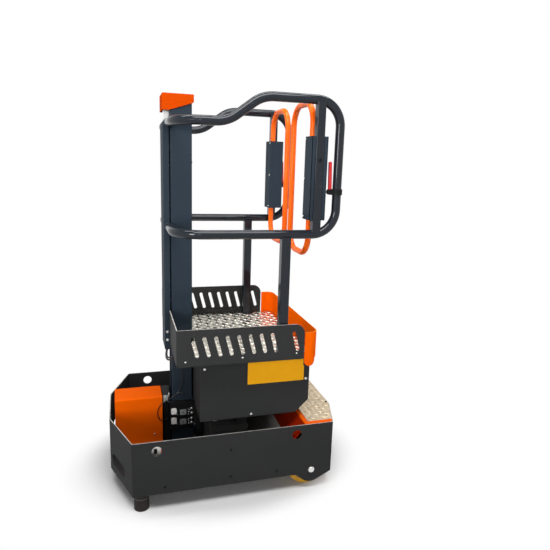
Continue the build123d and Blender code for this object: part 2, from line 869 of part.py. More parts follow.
def guard_rail(side):
    """One bent tube: out from the carriage, up an easy ramp, round the rear grip and back below."""
    y = side * rail_y
    weld_y = side * carriage_half_width
    route = [
        (rail_front_x, weld_y, low_rail_z),
        (rail_front_x, y, low_rail_z),
        (rail_ramp_front_x, y, low_rail_z),
        (rail_ramp_rear_x, y, high_rail_z),
        (rail_rear_x, y, high_rail_z),
        (rail_rear_x, y, mid_rail_z),
        (rail_front_x, y, mid_rail_z),
        (rail_front_x, weld_y, mid_rail_z),
    ]
    bends = [rail_elbow, rail_ramp_bend, rail_ramp_bend, rail_corner, rail_corner, rail_elbow]
    with BuildPart() as rail:
        with BuildLine() as path:
            FilletPolyline(*route, radius=bends)
        with BuildSketch(Plane(path.line @ 0, z_dir=path.line % 0)):
            Circle(rail_diameter / 2)
        sweep()
    return rail


def rail_post(side):
    """Square post from the steel floor to the underside of the middle rail."""
    with BuildPart() as post:
        with BuildSketch(Plane.XY.offset(tray_top_z)):
            with Locations((rail_post_x, side * rail_y)):
                RectangleRounded(rail_post_size, rail_post_size, post_corner)
        extrude(amount=mid_rail_z - rail_diameter / 2 + rail_post_seat - tray_top_z)
        with Locations((rail_post_x, side * rail_y, mid_rail_z)):
            Cylinder(rail_diameter / 2, 2 * rail_post_size, rotation=(0, 90, 0), mode=Mode.SUBTRACT)
    return post


def gate_post(side):
    """Square post between the middle and the upper rail, cut to both tubes."""
    with BuildPart() as post:
        with BuildSketch(Plane.XY.offset(mid_rail_z)):
            with Locations((gate_post_x, side * rail_y)):
                RectangleRounded(gate_post_size, gate_post_size, post_corner)
        extrude(amount=high_rail_z - mid_rail_z)
        add(guard_rail(side).part, mode=Mode.SUBTRACT)
    return post


def gate_housing(side):
    """Folded channel round the gate's hinge, open towards the outside."""
    depth = housing_outer_y - housing_web_y + housing_sheet
    with BuildPart() as housing:
        with BuildSketch(Plane.XY.offset(housing_bottom)):
            with Locations((gate_post_x, side * (housing_outer_y - depth / 2))):
                Rectangle(housing_width, depth)
            with Locations((gate_post_x, side * (housing_outer_y - (depth - housing_sheet) / 2))):
                Rectangle(housing_width - 2 * housing_sheet, depth - housing_sheet, mode=Mode.SUBTRACT)
        extrude(amount=housing_height)
        fillet(housing.edges().filter_by(Axis.Z).group_by(Axis.Y)[0 if side > 0 else -1], housing_sheet / 2)
    return housing


def gate_hinge_blocks():
    """Bearing blocks between each gate post and its housing, two to a gate."""
    with BuildPart() as blocks:
        for side in SIDES.values():
            for bottom in (hinge_block_low_z, hinge_block_high_z):
                with BuildSketch(Plane.XY.offset(bottom)):
                    with Locations((gate_post_x, side * hinge_y)):
                        Rectangle(housing_width - 2 * housing_sheet, hinge_room)
                    with Locations((gate_x, side * hinge_y)):
                        Circle(gate_radius + running_clearance, mode=Mode.SUBTRACT)
                extrude(amount=hinge_block_height)
    return blocks


def gate(side):
    """Closed tube loop that turns about its outer leg, with a collar on the lower bearing block."""
    outer_y = side * hinge_y
    inner_y = side * gate_middle_gap / 2
    corners = [
        (gate_x, outer_y, gate_low_z),
        (gate_x, outer_y, gate_high_z),
        (gate_x, inner_y, gate_high_z),
        (gate_x, inner_y, gate_low_z),
    ]
    collar_foot = hinge_block_low_z + hinge_block_height + pad_clearance
    with BuildPart() as loop:
        with BuildLine() as path:
            FilletPolyline(*corners, radius=gate_corner, close=True)
        with BuildSketch(Plane(path.line @ 0, z_dir=path.line % 0)):
            Circle(gate_radius)
        sweep()
        with BuildSketch(Plane.XY.offset(collar_foot)):
            with Locations((gate_x, outer_y)):
                Circle(gate_radius + gate_collar_wall)
        extrude(amount=gate_collar_height)
    return loop


def kick_panel(side):
    """Slotted side panel, folded at the front into a wall that reaches the carriage."""
    wall_x = carriage_rear_x
    middle_z = platform_height + slot_centre
    bottom = tray_top_z
    with BuildPart() as panel:
        with BuildSketch(Plane.XY.offset(bottom)) as plan:
            Polygon(
                (wall_x - kick_sheet, side * carriage_half_width),
                (wall_x - kick_sheet, side * kick_outer_y),
                (kick_rear_x, side * kick_outer_y),
                (kick_rear_x, side * kick_inner_y),
                (wall_x, side * kick_inner_y),
                (wall_x, side * carriage_half_width),
                align=None,
            )
            corners = plan.vertices().group_by(Axis.Y)
            outer = corners[-1 if side > 0 else 0].sort_by(Axis.X)[0]
            fillet(outer, kick_bend)
        extrude(amount=platform_height + kick_height - bottom)
        upper = panel.edges().filter_by(Axis.Y).group_by(Axis.Z)[-1].sort_by(Axis.X)[-1]
        fillet(upper, kick_corner)
        run = (slot_height - slot_width) / cos(radians(slot_lean)) + slot_width
        first_x = wall_x + slot_front_margin
        count = int((kick_rear_x - slot_end_margin - first_x) / slot_pitch) + 1
        places = [first_x + i * slot_pitch for i in range(count)]
        clear = [x for x in places if abs(x - rail_post_x) > rail_post_size / 2]
        with BuildSketch(side_plane(side, kick_inner_y, kick_outer_y)):
            with Locations(*[(x, middle_z) for x in clear]):
                SlotOverall(run, slot_width, rotation=90 + slot_lean)
        extrude(amount=kick_sheet, mode=Mode.SUBTRACT)
    return panel


def platform_plan(front_x, half):
    """Plan of the platform floor with rounded rear corners and a notch for the mast."""
    notch_x = mast_rear_x + mast_notch_gap
    notch_y = mast_width / 2 + mast_notch_gap
    rear_x = guard_rear_x - guard_sheet
    with Locations(((front_x + rear_x) / 2, 0)):
        Rectangle(rear_x - front_x, 2 * half)
    with Locations(((front_x + notch_x) / 2, 0)):
        Rectangle(notch_x - front_x, 2 * notch_y, mode=Mode.SUBTRACT)


def floor_tray():
    """Steel floor with upturned side flanges behind the kick panels and tabs for the rear guard."""
    flange_front = carriage_rear_x + tray_flange_inset
    flange_rear = kick_rear_x - tray_flange_inset
    with BuildPart() as tray:
        with BuildSketch(Plane.XY.offset(tray_under_z)) as plan:
            platform_plan(carriage_rear_x, tray_y)
            fillet(plan.vertices().group_by(Axis.X)[-1], guard_corner - guard_sheet)
        extrude(amount=tray_sheet)
        for side in SIDES.values():
            with BuildSketch(side_plane(side, kick_inner_y - tray_flange_sheet, kick_inner_y)):
                with Locations(((flange_front + flange_rear) / 2, tray_under_z + tray_flange_height / 2)):
                    Rectangle(flange_rear - flange_front, tray_flange_height)
            extrude(amount=tray_flange_sheet)
            with BuildSketch(side_plane(side, guard_inner_y - guard_tab_sheet, guard_inner_y)):
                with Locations((guard_front_x + guard_tab_width / 2, tray_under_z - guard_tab_drop / 2)):
                    Rectangle(guard_tab_width, guard_tab_drop)
            extrude(amount=guard_tab_sheet)
    return tray


def floor_tread():
    """Tread plate that lies on the steel floor between the side flanges, notched round the rail posts."""
    notch_width = rail_post_size + 2 * rail_post_notch_gap
    notch_inner_y = rail_y - notch_width / 2
    with BuildPart() as tread:
        with BuildSketch(Plane.XY.offset(tray_top_z)) as plan:
            platform_plan(carriage_rear_x, kick_inner_y - tray_flange_sheet)
            fillet(plan.vertices().group_by(Axis.X)[-1], guard_corner - guard_sheet)
            for side in SIDES.values():
                with Locations((rail_post_x, side * (notch_inner_y + kick_inner_y) / 2)):
                    Rectangle(notch_width, kick_inner_y - notch_inner_y, mode=Mode.SUBTRACT)
        extrude(amount=tread_sheet)
    return tread


def rear_guard():
    """Bent band across the rear of the floor; its cheeks end in round ears below the floor."""
    ear_radius = guard_ear_width / 2
    ear_centre = platform_height - guard_ear_drop + ear_radius
    top = platform_height + guard_height
    band_bottom = platform_height - guard_ear_drop
    with BuildPart() as guard:
        with BuildSketch(Plane.XY.offset(band_bottom)) as band:
            with Locations(((guard_front_x + guard_rear_x) / 2, 0)):
                Rectangle(guard_rear_x - guard_front_x, 2 * kick_inner_y)
            fillet(band.vertices().group_by(Axis.X)[-1], guard_corner)
            with Locations((guard_front_x, 0)):
                Rectangle(4 * guard_sheet, 2 * guard_inner_y, mode=Mode.SUBTRACT)
            with BuildSketch(mode=Mode.SUBTRACT) as inside:
                with Locations(((guard_front_x + guard_rear_x - guard_sheet) / 2, 0)):
                    Rectangle(guard_rear_x - guard_sheet - guard_front_x, 2 * guard_inner_y)
                fillet(inside.vertices().group_by(Axis.X)[-1], guard_corner - guard_sheet)
        extrude(amount=top - band_bottom)
        with BuildSketch(Plane.XZ):
            with Locations((guard_front_x + ear_radius, ear_centre)):
                Circle(ear_radius)
            with Locations((guard_front_x + ear_radius, (ear_centre + top) / 2)):
                Rectangle(guard_ear_width, top - ear_centre)
            with Locations(((guard_front_x + guard_rear_x) / 2, (tray_under_z + top) / 2)):
                Rectangle(guard_rear_x - guard_front_x, top - tray_under_z)
        extrude(amount=kick_outer_y, both=True, mode=Mode.INTERSECT)
    return guard


def box_profile():
    """Side view of the equipment box with its cut rear corner, drawn into the current sketch."""
    Polygon(
        (box_front_x, tray_under_z),
        (box_front_x, box_bottom),
        (box_rear_x - box_chamfer_length, box_bottom),
        (box_rear_x, box_bottom + box_chamfer_height),
        (box_rear_x, tray_under_z),
        align=None,
    )


def box_frame():
    """Folded sheet of the equipment box: front wall, bottom, cut corner and rear wall."""
    with BuildPart() as frame:
        with BuildSketch(Plane.XZ):
            box_profile()
            offset(amount=-box_sheet, kind=Kind.INTERSECTION, mode=Mode.SUBTRACT)
            with Locations(((box_front_x + box_rear_x) / 2, tray_under_z - box_sheet / 2)):
                Rectangle(box_rear_x - box_front_x - 2 * box_sheet, box_sheet, mode=Mode.SUBTRACT)
        extrude(amount=box_half_width - box_sheet, both=True)
    return frame


def box_panel(side):
    """Side panel of the equipment box."""
    with BuildPart() as panel:
        with BuildSketch(side_plane(side, box_half_width - box_sheet, box_half_width)):
            box_profile()
        extrude(amount=box_sheet)
    return panel


def front_cover():
    """Folded hood over the power pack, closed in front and open to the rear."""
    half = cover_width / 2
    height = cover_top - floor_z
    inside_length = cover_length - cover_sheet
    with BuildPart() as cover:
        with Locations((cover_front_x + cover_length / 2, 0, floor_z + height / 2)):
            Box(cover_length, cover_width, height)
        fillet(cover.faces().sort_by(Axis.Z)[-1].edges().filter_by(Axis.X), cover_bend)
        with Locations((cover_rear_x - inside_length / 2, 0, floor_z + (height - cover_sheet) / 2)):
            Box(inside_length, 2 * (half - cover_sheet), height - cover_sheet, mode=Mode.SUBTRACT)
    return cover


def pump_motor():
    """Motor and pump lying on two saddle feet under the front cover."""
    radius = motor_diameter / 2
    axis_z = floor_z + motor_foot_height + radius
    start_x = cover_front_x + motor_end_gap
    with BuildPart() as motor:
        with BuildSketch(Plane.YZ.offset(start_x)):
            with Locations((0, axis_z)):
                Circle(radius)
        extrude(amount=motor_length)
        chamfer(motor.edges().filter_by(GeomType.CIRCLE), motor_foot_height / 2)
        for foot_start in (start_x + motor_foot_length, start_x + motor_length - 2 * motor_foot_length):
            with BuildSketch(Plane.YZ.offset(foot_start)):
                with Locations((0, (floor_z + axis_z) / 2)):
                    Rectangle(motor_foot_width, axis_z - floor_z)
            extrude(amount=motor_foot_length)
    return motor


def oil_tank():
    """Upright oil tank between the front cover and the mast."""
    front_x = cover_rear_x + tank_gap_front
    rear_x = mast_front_x - tank_gap_rear
    with BuildPart() as tank:
        with BuildSketch(Plane.XY.offset(floor_z)):
            with Locations(((front_x + rear_x) / 2, 0)):
                RectangleRounded(rear_x - front_x, tank_width, tank_edge)
        extrude(amount=tank_top - floor_z)
        fillet(tank.faces().sort_by(Axis.Z)[-1].edges(), tank_edge / 2)
    return tank


def valve_block():
    """Valve block screwed to the left cheek of the mast's foot."""
    with BuildPart() as block:
        with BuildSketch(side_plane(-1, mast_width / 2 + cheek_sheet, valve_face_y)):
            with Locations(((valve_front_x + valve_rear_x) / 2, valve_top - valve_height / 2)):
                Rectangle(valve_rear_x - valve_front_x, valve_height)
        extrude(amount=valve_depth)
        chamfer(block.faces().sort_by(Axis.Y)[0].edges(), valve_edge)
    return block


def valve_caps():
    """Rounded coil caps and square plug caps on the valve block's face, in two rows."""
    with BuildPart() as caps:
        for row in range(2):
            z = valve_top - valve_row_first - row * valve_row_spacing
            with BuildSketch(side_plane(-1, valve_face_y, valve_face_y + cap_depth)):
                with Locations((valve_front_x + coil_from_edge, z + coil_rise)):
                    RectangleRounded(coil_width, coil_height, coil_corner)
                with Locations((valve_front_x + plug_from_edge, z)):
                    RectangleRounded(plug_width, plug_height, plug_corner)
            extrude(amount=cap_depth)
    return caps


def battery(side):
    """Traction battery standing on the tray's floor, with a stepped lid."""
    middle_x = mast_plate_rear_x + battery_plate_gap + battery_width / 2
    middle = (middle_x, side * (battery_gap + battery_length) / 2)
    with BuildPart() as block:
        with BuildSketch(Plane.XY.offset(floor_z)):
            with Locations(middle):
                RectangleRounded(
                    battery_width - 2 * battery_lid_margin,
                    battery_length - 2 * battery_lid_margin,
                    battery_edge,
                )
        extrude(amount=battery_height - battery_lid)
        with BuildSketch(Plane.XY.offset(floor_z + battery_height - battery_lid)):
            with Locations(middle):
                RectangleRounded(battery_width, battery_length, battery_edge)
        extrude(amount=battery_lid)
    return block


def step_box():
    """Folded step: a top that fills the rear of the tray and a sloped front that reaches its floor."""
    run = (step_top_z - floor_z) / tan(radians(step_slope))
    slant = step_sheet / sin(radians(step_slope))
    with BuildPart() as step:
        with BuildSketch(Plane.XY.offset(step_top_z - step_sheet)) as top:
            chassis_plan()
            fillet(top.vertices(), chassis_bend)
            offset(amount=-chassis_sheet, kind=Kind.INTERSECTION, mode=Mode.REPLACE)
            with Locations((step_front_x - half_length, 0)):
                Rectangle(2 * half_length, 2 * chassis_width, mode=Mode.SUBTRACT)
        extrude(amount=step_sheet)
        with BuildSketch(Plane.XZ):
            Polygon(
                (step_front_x, step_top_z),
                (step_front_x - run, floor_z),
                (step_front_x - run + slant, floor_z),
                (step_front_x + slant, step_top_z),
                align=None,
            )
        extrude(amount=inner_wall_y, both=True)
        for side in SIDES.values():
            with BuildSketch(side_plane(side, inner_wall_y - step_sheet, inner_wall_y)):
                with Locations(((step_front_x + side_rear_x) / 2, step_top_z - step_flange_height / 2)):
                    Rectangle(side_rear_x - step_front_x - 2 * chassis_bend, step_flange_height)
            extrude(amount=step_sheet)
    return step


def step_tread():
    """Tread plate on the step, out to the rear walls' outside but clear of the side walls."""
    front_x = step_front_x + step_tread_front
    with BuildPart() as tread:
        with BuildSketch(Plane.XY.offset(step_top_z)) as plan:
            chassis_plan()
            fillet(plan.vertices(), chassis_bend)
            offset(amount=-step_tread_rear_inset, kind=Kind.INTERSECTION, mode=Mode.REPLACE)
            with Locations((front_x + half_length, 0)):
                Rectangle(2 * half_length, chassis_width - 2 * step_tread_side_inset, mode=Mode.INTERSECT)
        extrude(amount=step_tread_sheet)
    return tread


def lever_clamps():
    """Clamp rings on the rear grips, each with a forked ear and the lever's pin."""
    ring_radius = rail_diameter / 2 + clamp_wall
    ear_inner = lever_thickness / 2 + clamp_ear_gap
    ear_outer = ear_inner + clamp_ear_sheet
    low = lever_z - clamp_height / 2
    with BuildPart() as clamps:
        for side in SIDES.values():
            y = side * rail_y
            with BuildSketch(Plane.XY.offset(low)):
                with Locations((rail_rear_x, y)):
                    Circle(ring_radius)
                    Circle(rail_diameter / 2, mode=Mode.SUBTRACT)
            extrude(amount=clamp_height)
            for start in (ear_inner - y, -ear_outer - y):
                with BuildSketch(Plane.XZ.offset(start)):
                    with Locations((lever_x, lever_z)):
                        Circle(clamp_height / 2)
                    with Locations(((lever_x + rail_rear_x - rail_diameter / 2) / 2, lever_z)):
                        Rectangle(rail_rear_x - rail_diameter / 2 - lever_x, clamp_height)
                extrude(amount=clamp_ear_sheet)
            with Locations((lever_x, y, lever_z)):
                Cylinder(lever_pin_diameter / 2, 2 * ear_outer, rotation=(90, 0, 0))
    return clamps


def release_lever(side):
    """Finger lever in front of the rear grip, on the clamp's pin."""
    y = side * rail_y
    with BuildPart() as lever:
        with BuildSketch(Plane.XZ.offset(-y - lever_thickness / 2)):
            with Locations((lever_x, lever_z)):
                Circle(lever_foot_radius)
            with Locations((lever_x - lever_lean, lever_z + lever_length)):
                Circle(lever_tip_radius)
            make_hull()
        extrude(amount=lever_thickness)
        fillet(lever.faces().filter_by(Axis.Y).edges(), lever_thickness / 5)
        with Locations((lever_x, y, lever_z)):
            Cylinder(
                lever_pin_diameter / 2 + running_clearance,
                2 * lever_thickness,
                rotation=(90, 0, 0),
                mode=Mode.SUBTRACT,
            )
    return lever


def button_height_at(row):
    """Height of one row of the control box's buttons, counted from the top."""
    return low_rail_z - button_first_drop - row * button_spacing


def button_plane(row):
    """Plane of the control box's inner face at one row; its normal points at the user."""
    middle_x = control_box_front_x + control_box_width / 2
    return Plane((middle_x, control_face_y, button_height_at(row)), x_dir=(1, 0, 0), z_dir=(0, -1, 0))


def control_box():
    """Moulded box that hugs the right rail from below, with bores for three buttons."""
    with BuildPart() as box:
        with Locations(
            (control_box_front_x + control_box_width / 2, rail_y, low_rail_z - control_box_drop / 2)
        ):
            Box(control_box_width, control_box_depth, control_box_drop)
        fillet(box.edges().filter_by(Axis.Y), control_box_edge)
        add(guard_rail(SIDES["right"]).part, mode=Mode.SUBTRACT)
        for row, diameter in enumerate((button_diameter, button_diameter, stop_stem_diameter)):
            with BuildSketch(button_plane(row)):
                Circle(diameter / 2 + running_clearance)
            extrude(amount=-button_root - button_travel_room, mode=Mode.SUBTRACT)
    return box


def press_button(row):
    """Round push button in its bore."""
    with BuildPart() as button:
        with BuildSketch(button_plane(row).offset(-button_root)):
            Circle(button_diameter / 2)
        extrude(amount=button_root + button_height)
        fillet(button.edges().sort_by(Axis.Y)[0], button_height / 4)
    return button


def stop_button(row):
    """Mushroom button on a stem."""
    with BuildPart() as button:
        with BuildSketch(button_plane(row).offset(-button_root)):
            Circle(stop_stem_diameter / 2)
        extrude(amount=button_root + stop_stem_gap)
        with BuildSketch(button_plane(row).offset(stop_stem_gap)):
            Circle(stop_head_diameter / 2)
        extrude(amount=stop_head_height)
        fillet(button.edges().sort_by(Axis.Y)[0], stop_head_height / 2)
    return button


def cable_bends(route):
    """Largest bend radius that the runs on each side of every corner leave room for."""
    points = [Vector(*point) for point in route]
    bends = []
    for before, corner, after in zip(points, points[1:], points[2:]):
        turn = (corner - before).get_angle(after - corner)
        shorter = min((corner - before).length, (after - corner).length)
        bends.append(0.45 * shorter / tan(radians(turn / 2)))
    return bends


def lay_cable(route, diameter):
    """Sweep one cable along its route, in the current part."""
    bends = cable_bends(route)
    print("cable bend radii", [round(bend, 1) for bend in bends])
    with BuildLine() as path:
        FilletPolyline(*route, radius=bends)
    with BuildSketch(Plane(path.line @ 0, z_dir=path.line % 0)) as section:
        Circle(diameter / 2)
    sweep(section.sketch, path=path.line)


def control_cables():
    """Two cables that loop from the carriage's foot to the equipment box."""
    with BuildPart() as cables:
        for route in cable_routes:
            lay_cable(route, cable_diameter)
    return cables


def mast_cable():
    """Thin cable that comes down the mast's side and loops over the front cover."""
    with BuildPart() as cable:
        lay_cable(mast_cable_route, mast_cable_diameter)
    return cable


os.makedirs("parts", exist_ok=True)

single_pieces = {
    "chassis_tray": chassis_tray,
    "stub_axles": stub_axles,
    "castor_mounts": castor_mounts,
    "foot_guides": foot_guides,
    "mast_foot": mast_foot,
    "mast_column": mast_column,
    "mast_guide_pads": mast_guide_pads,
    "lift_cylinder": lift_cylinder,
    "front_cover": front_cover,
    "pump_motor": pump_motor,
    "oil_tank": oil_tank,
    "valve_block": valve_block,
    "valve_caps": valve_caps,
    "step_box": step_box,
    "step_tread": step_tread,
    "inner_mast": inner_mast,
    "inner_guide_pads": inner_guide_pads,
    "piston_rod": piston_rod,
    "mast_cap": mast_cap,
    "carriage_column": carriage_column,
    "floor_tray": floor_tray,
    "floor_tread": floor_tread,
    "rear_guard": rear_guard,
    "box_frame": box_frame,
    "gate_hinge_blocks": gate_hinge_blocks,
    "lever_clamps": lever_clamps,
    "control_box": control_box,
    "control_cables": control_cables,
    "mast_cable": mast_cable,
}
for label, make in single_pieces.items():
    save(make(), label)

paired_pieces = {
    "rear_tyre": rear_tyre,
    "rear_hub": rear_hub,
    "castor_fork": castor_fork,
    "castor_wheel": castor_wheel,
    "brake_foot": brake_foot,
    "battery": battery,
    "guard_rail": guard_rail,
    "rail_post": rail_post,
    "gate_post": gate_post,
    "gate_housing": gate_housing,
    "gate": gate,
    "kick_panel": kick_panel,
    "box_panel": box_panel,
    "release_lever": release_lever,
}
for label, make in paired_pieces.items():
    for side_name, side in SIDES.items():
        save(make(side), f"{label}_{side_name}")

save(press_button(0), "up_button")
save(press_button(1), "down_button")
save(stop_button(2), "stop_button")
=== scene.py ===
import json
from math import cos, pi, radians, sin

import bmesh
import bpy
from bpy.props import FloatProperty, FloatVectorProperty, PointerProperty
from mathutils import Matrix, Vector


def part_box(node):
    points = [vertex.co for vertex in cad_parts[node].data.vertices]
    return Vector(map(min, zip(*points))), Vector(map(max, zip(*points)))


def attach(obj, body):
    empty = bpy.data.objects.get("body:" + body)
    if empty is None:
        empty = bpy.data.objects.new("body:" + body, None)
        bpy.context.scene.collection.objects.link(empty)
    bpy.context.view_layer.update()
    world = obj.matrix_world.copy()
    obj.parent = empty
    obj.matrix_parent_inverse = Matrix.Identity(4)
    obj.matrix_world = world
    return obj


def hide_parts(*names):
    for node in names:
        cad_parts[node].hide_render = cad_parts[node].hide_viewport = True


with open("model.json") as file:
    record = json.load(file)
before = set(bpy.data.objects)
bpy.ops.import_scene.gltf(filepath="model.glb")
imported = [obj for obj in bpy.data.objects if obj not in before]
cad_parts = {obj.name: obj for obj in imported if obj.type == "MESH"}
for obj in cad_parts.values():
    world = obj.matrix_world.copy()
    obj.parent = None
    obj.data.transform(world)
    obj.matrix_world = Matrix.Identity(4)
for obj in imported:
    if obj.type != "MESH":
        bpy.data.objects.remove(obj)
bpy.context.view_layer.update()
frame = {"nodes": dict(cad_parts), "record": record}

bl_info = {
    "name": "Order Picker Dressing",
    "version": (1, 0, 0),
    "blender": (4, 5, 0),
    "location": "3D View > Sidebar > Order Picker",
    "description": "Finishes, cables, tread bars, fasteners, welds and stage of the order picker",
    "category": "Object",
}

NODES = frame["nodes"]
SIDES = {"left": -1, "right": 1}

# Directions in the frame
UP = (0, 0, 1)
DOWN = (0, 0, -1)
NEAR = (0, -1, 0)
FAR = (0, 1, 0)
FRONT = (-1, 0, 0)
REAR = (1, 0, 0)

# Places read from the frame, in metres
TRAY_LOW, TRAY_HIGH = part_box("chassis_tray")
KICK_LOW, KICK_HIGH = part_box("kick_panel_left")
PANEL_LOW, PANEL_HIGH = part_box("box_panel_left")
FLOOR_LOW, FLOOR_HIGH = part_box("floor_tread")
STEP_LOW, STEP_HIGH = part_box("step_tread")
GUARD_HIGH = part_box("rear_guard")[1]
MAST_LOW, MAST_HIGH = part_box("mast_column")
FOOT_LOW, FOOT_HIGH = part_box("mast_foot")
CARRIAGE_LOW, CARRIAGE_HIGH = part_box("carriage_column")
HOUSING_LOW, HOUSING_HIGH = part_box("gate_housing_left")
GATE_POST_LOW, GATE_POST_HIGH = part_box("gate_post_left")
RAIL_POST_LOW, RAIL_POST_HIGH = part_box("rail_post_left")
RAIL_LOW, RAIL_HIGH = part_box("guard_rail_left")
COVER_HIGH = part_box("front_cover")[1]
VALVE_LOW, VALVE_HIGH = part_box("valve_block")
VALVE_CAPS_LOW, VALVE_CAPS_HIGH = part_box("valve_caps")
TANK_LOW, TANK_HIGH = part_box("oil_tank")
CASTOR_LOW, CASTOR_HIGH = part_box("castor_mounts")
BATTERY_LOW, BATTERY_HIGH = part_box("battery_left")
TRAY_FLOOR = BATTERY_LOW.z

# Forms of the frame that a box doesn't tell, in metres
RAIL_RADIUS = 0.019
FLOOR_CORNER = 0.037
REAR_TAPER = 0.053
REAR_FACE_HALF = 0.201
SIDE_HOLE = Vector((-0.326, 0.281))

# Heights below which the step is deep red as painted shade, and below which it is bare, in metres
STEP_PAINTED_SHADE_TOP = STEP_LOW.z - 0.004
STEP_BARE = 0.238

# Heads in metres: screws and plugs by their diameter, bolts, nuts and unions across their flats
TRAY_SCREW = 0.012
STEP_SCREW = 0.010
HOUSING_SCREW = 0.007
MAST_SCREW = 0.012
TERMINAL_SCREW = 0.0065
VALVE_SCREW = 0.007
PLUG_SCREW = 0.006
SWITCH_SCREW = 0.005
CONTROL_SCREW = 0.006
POST_PLUG = 0.018
FOOT_BOLT = 0.019
CASTOR_BOLT = 0.013
PIPE_UNION = 0.009
CARRIAGE_NUT = 0.007

# What the satin orange paints have in common
SATIN = {"roughness": 0.46, "specular": 0.0, "coat": 0.01, "wear": 0.05}

# Cables, in metres: carrying body, node that it stands for, diameter, length and points of its NURBS line
CONTROL_CABLE = 0.008
THIN_CABLE = 0.004
CABLES = {
    "control_cable_front": ("platform", "control_cables", CONTROL_CABLE, 0.245, [
        (-0.248, -0.040, 0.652), (-0.250, -0.041, 0.618), (-0.259, -0.054, 0.587), (-0.258, -0.085, 0.571),
        (-0.243, -0.111, 0.577), (-0.212, -0.126, 0.592), (-0.170, -0.130, 0.600), (-0.132, -0.130, 0.600),
    ]),
    "control_cable_rear": ("platform", "control_cables", CONTROL_CABLE, 0.231, [
        (-0.247, -0.055, 0.652), (-0.249, -0.056, 0.622), (-0.257, -0.068, 0.597), (-0.256, -0.094, 0.584),
        (-0.243, -0.118, 0.591), (-0.212, -0.136, 0.606), (-0.170, -0.141, 0.614), (-0.132, -0.141, 0.614),
    ]),
    "thin_mast_cable": ("base", "mast_cable", THIN_CABLE, 0.472, [
        (-0.181, -0.070, 0.622), (-0.181, -0.083, 0.622), (-0.181, -0.093, 0.611), (-0.182, -0.094, 0.594),
        (-0.182, -0.090, 0.570), (-0.182, -0.085, 0.532), (-0.183, -0.081, 0.494), (-0.186, -0.080, 0.458),
        (-0.192, -0.079, 0.424), (-0.206, -0.080, 0.400), (-0.225, -0.081, 0.384), (-0.244, -0.080, 0.371),
        (-0.263, -0.078, 0.360), (-0.281, -0.075, 0.349), (-0.297, -0.073, 0.329), (-0.303, -0.073, 0.302),
        (-0.298, -0.074, 0.277), (-0.283, -0.076, 0.260), (-0.266, -0.073, 0.256), (-0.258, -0.063, 0.257),
        (-0.258, -0.052, 0.257),
    ]),
}


def colour_setting(name, description, default):
    """A colour that the user can change."""
    return FloatVectorProperty(
        name=name, description=description, default=default, subtype="COLOR", size=3, min=0.0, max=1.0
    )


def length_setting(name, description, default):
    """A length in metres that the user can change."""
    return FloatProperty(name=name, description=description, default=default, unit="LENGTH", precision=4)


def power_setting(name, description, default):
    """A lamp's power in watts that the user can change."""
    return FloatProperty(name=name, description=description, default=default, unit="POWER", min=0.0)


class PickerColours(bpy.types.PropertyGroup):
    """Colours of the finishes."""

    anthracite: colour_setting("Anthracite", "Powder coat of the tray and panels", (0.034, 0.0345, 0.0350))
    mast: colour_setting("Mast", "Satin paint of the mast", (0.023, 0.033, 0.045))
    rail: colour_setting("Rail", "Gloss paint of rails and posts", (0.007, 0.010, 0.015))
    orange: colour_setting("Orange", "Powder coat of covers and gates", (0.88, 0.116, 0.001))
    # Orange of the mast's cap, darkened as painted shade
    cap_painted_shade: colour_setting("Cap orange", "Powder coat of the mast's cap", (0.48, 0.048, 0.001))
    # Deep red that paints the shade on the step's front
    step_painted_shade: colour_setting("Step shade", "Shaded front of the step", (0.28, 0.014, 0.001))
    # Lighter orange on the sheet's top edges: a painted highlight
    orange_rim_highlight: colour_setting("Orange rim", "Cut edges of the orange sheet", (1.0, 0.42, 0.10))
    bare_metal: colour_setting("Bare metal", "Metal where paint is worn off", (0.46, 0.45, 0.43))
    # Light top edges of the dark sheet: partly bare cut metal, partly painted highlight
    rim: colour_setting("Rim", "Cut top edges of the dark sheet", (0.62, 0.60, 0.57))
    aluminium: colour_setting("Aluminium", "Inner mast", (0.88, 0.88, 0.87))
    plate_field: colour_setting("Tread field", "Floor tread between its bars", (0.80, 0.75, 0.63))
    plate_bar: colour_setting("Tread bar", "Bars of the floor tread", (0.96, 0.93, 0.84))
    step_field: colour_setting("Step field", "Step tread between its bars", (0.86, 0.71, 0.51))
    step_bar: colour_setting("Step bar", "Bars of the step tread", (0.94, 0.79, 0.58))
    grime: colour_setting("Grime", "Dirt that traffic leaves", (0.10, 0.085, 0.065))
    zinc: colour_setting("Zinc", "Plated steel pieces and screws", (0.74, 0.74, 0.73))
    cast: colour_setting("Cast hub", "Rear hubs and foot rings", (0.08, 0.08, 0.085))
    tyre: colour_setting("Tyre", "Polyurethane of the rear wheels", (0.72, 0.36, 0.015))
    rubber: colour_setting("Rubber", "Brake feet and castor wheels", (0.016, 0.010, 0.010))
    black: colour_setting("Black plastic", "Housings and cables", (0.008, 0.008, 0.009))
    case: colour_setting("Battery case", "Cases of the batteries", (0.040, 0.042, 0.040))
    grey: colour_setting("Grey plastic", "Valve plugs and tank switch", (0.36, 0.37, 0.37))
    white: colour_setting("White plastic", "Coil caps and charging socket", (0.86, 0.84, 0.80))
    red: colour_setting("Red plastic", "Levers, stop button and socket flap", (0.50, 0.010, 0.014))
    green: colour_setting("Green plastic", "Up button", (0.02, 0.30, 0.07))
    plate: colour_setting("Yellow plate", "Blank plate on the equipment box", (0.95, 0.43, 0.001))


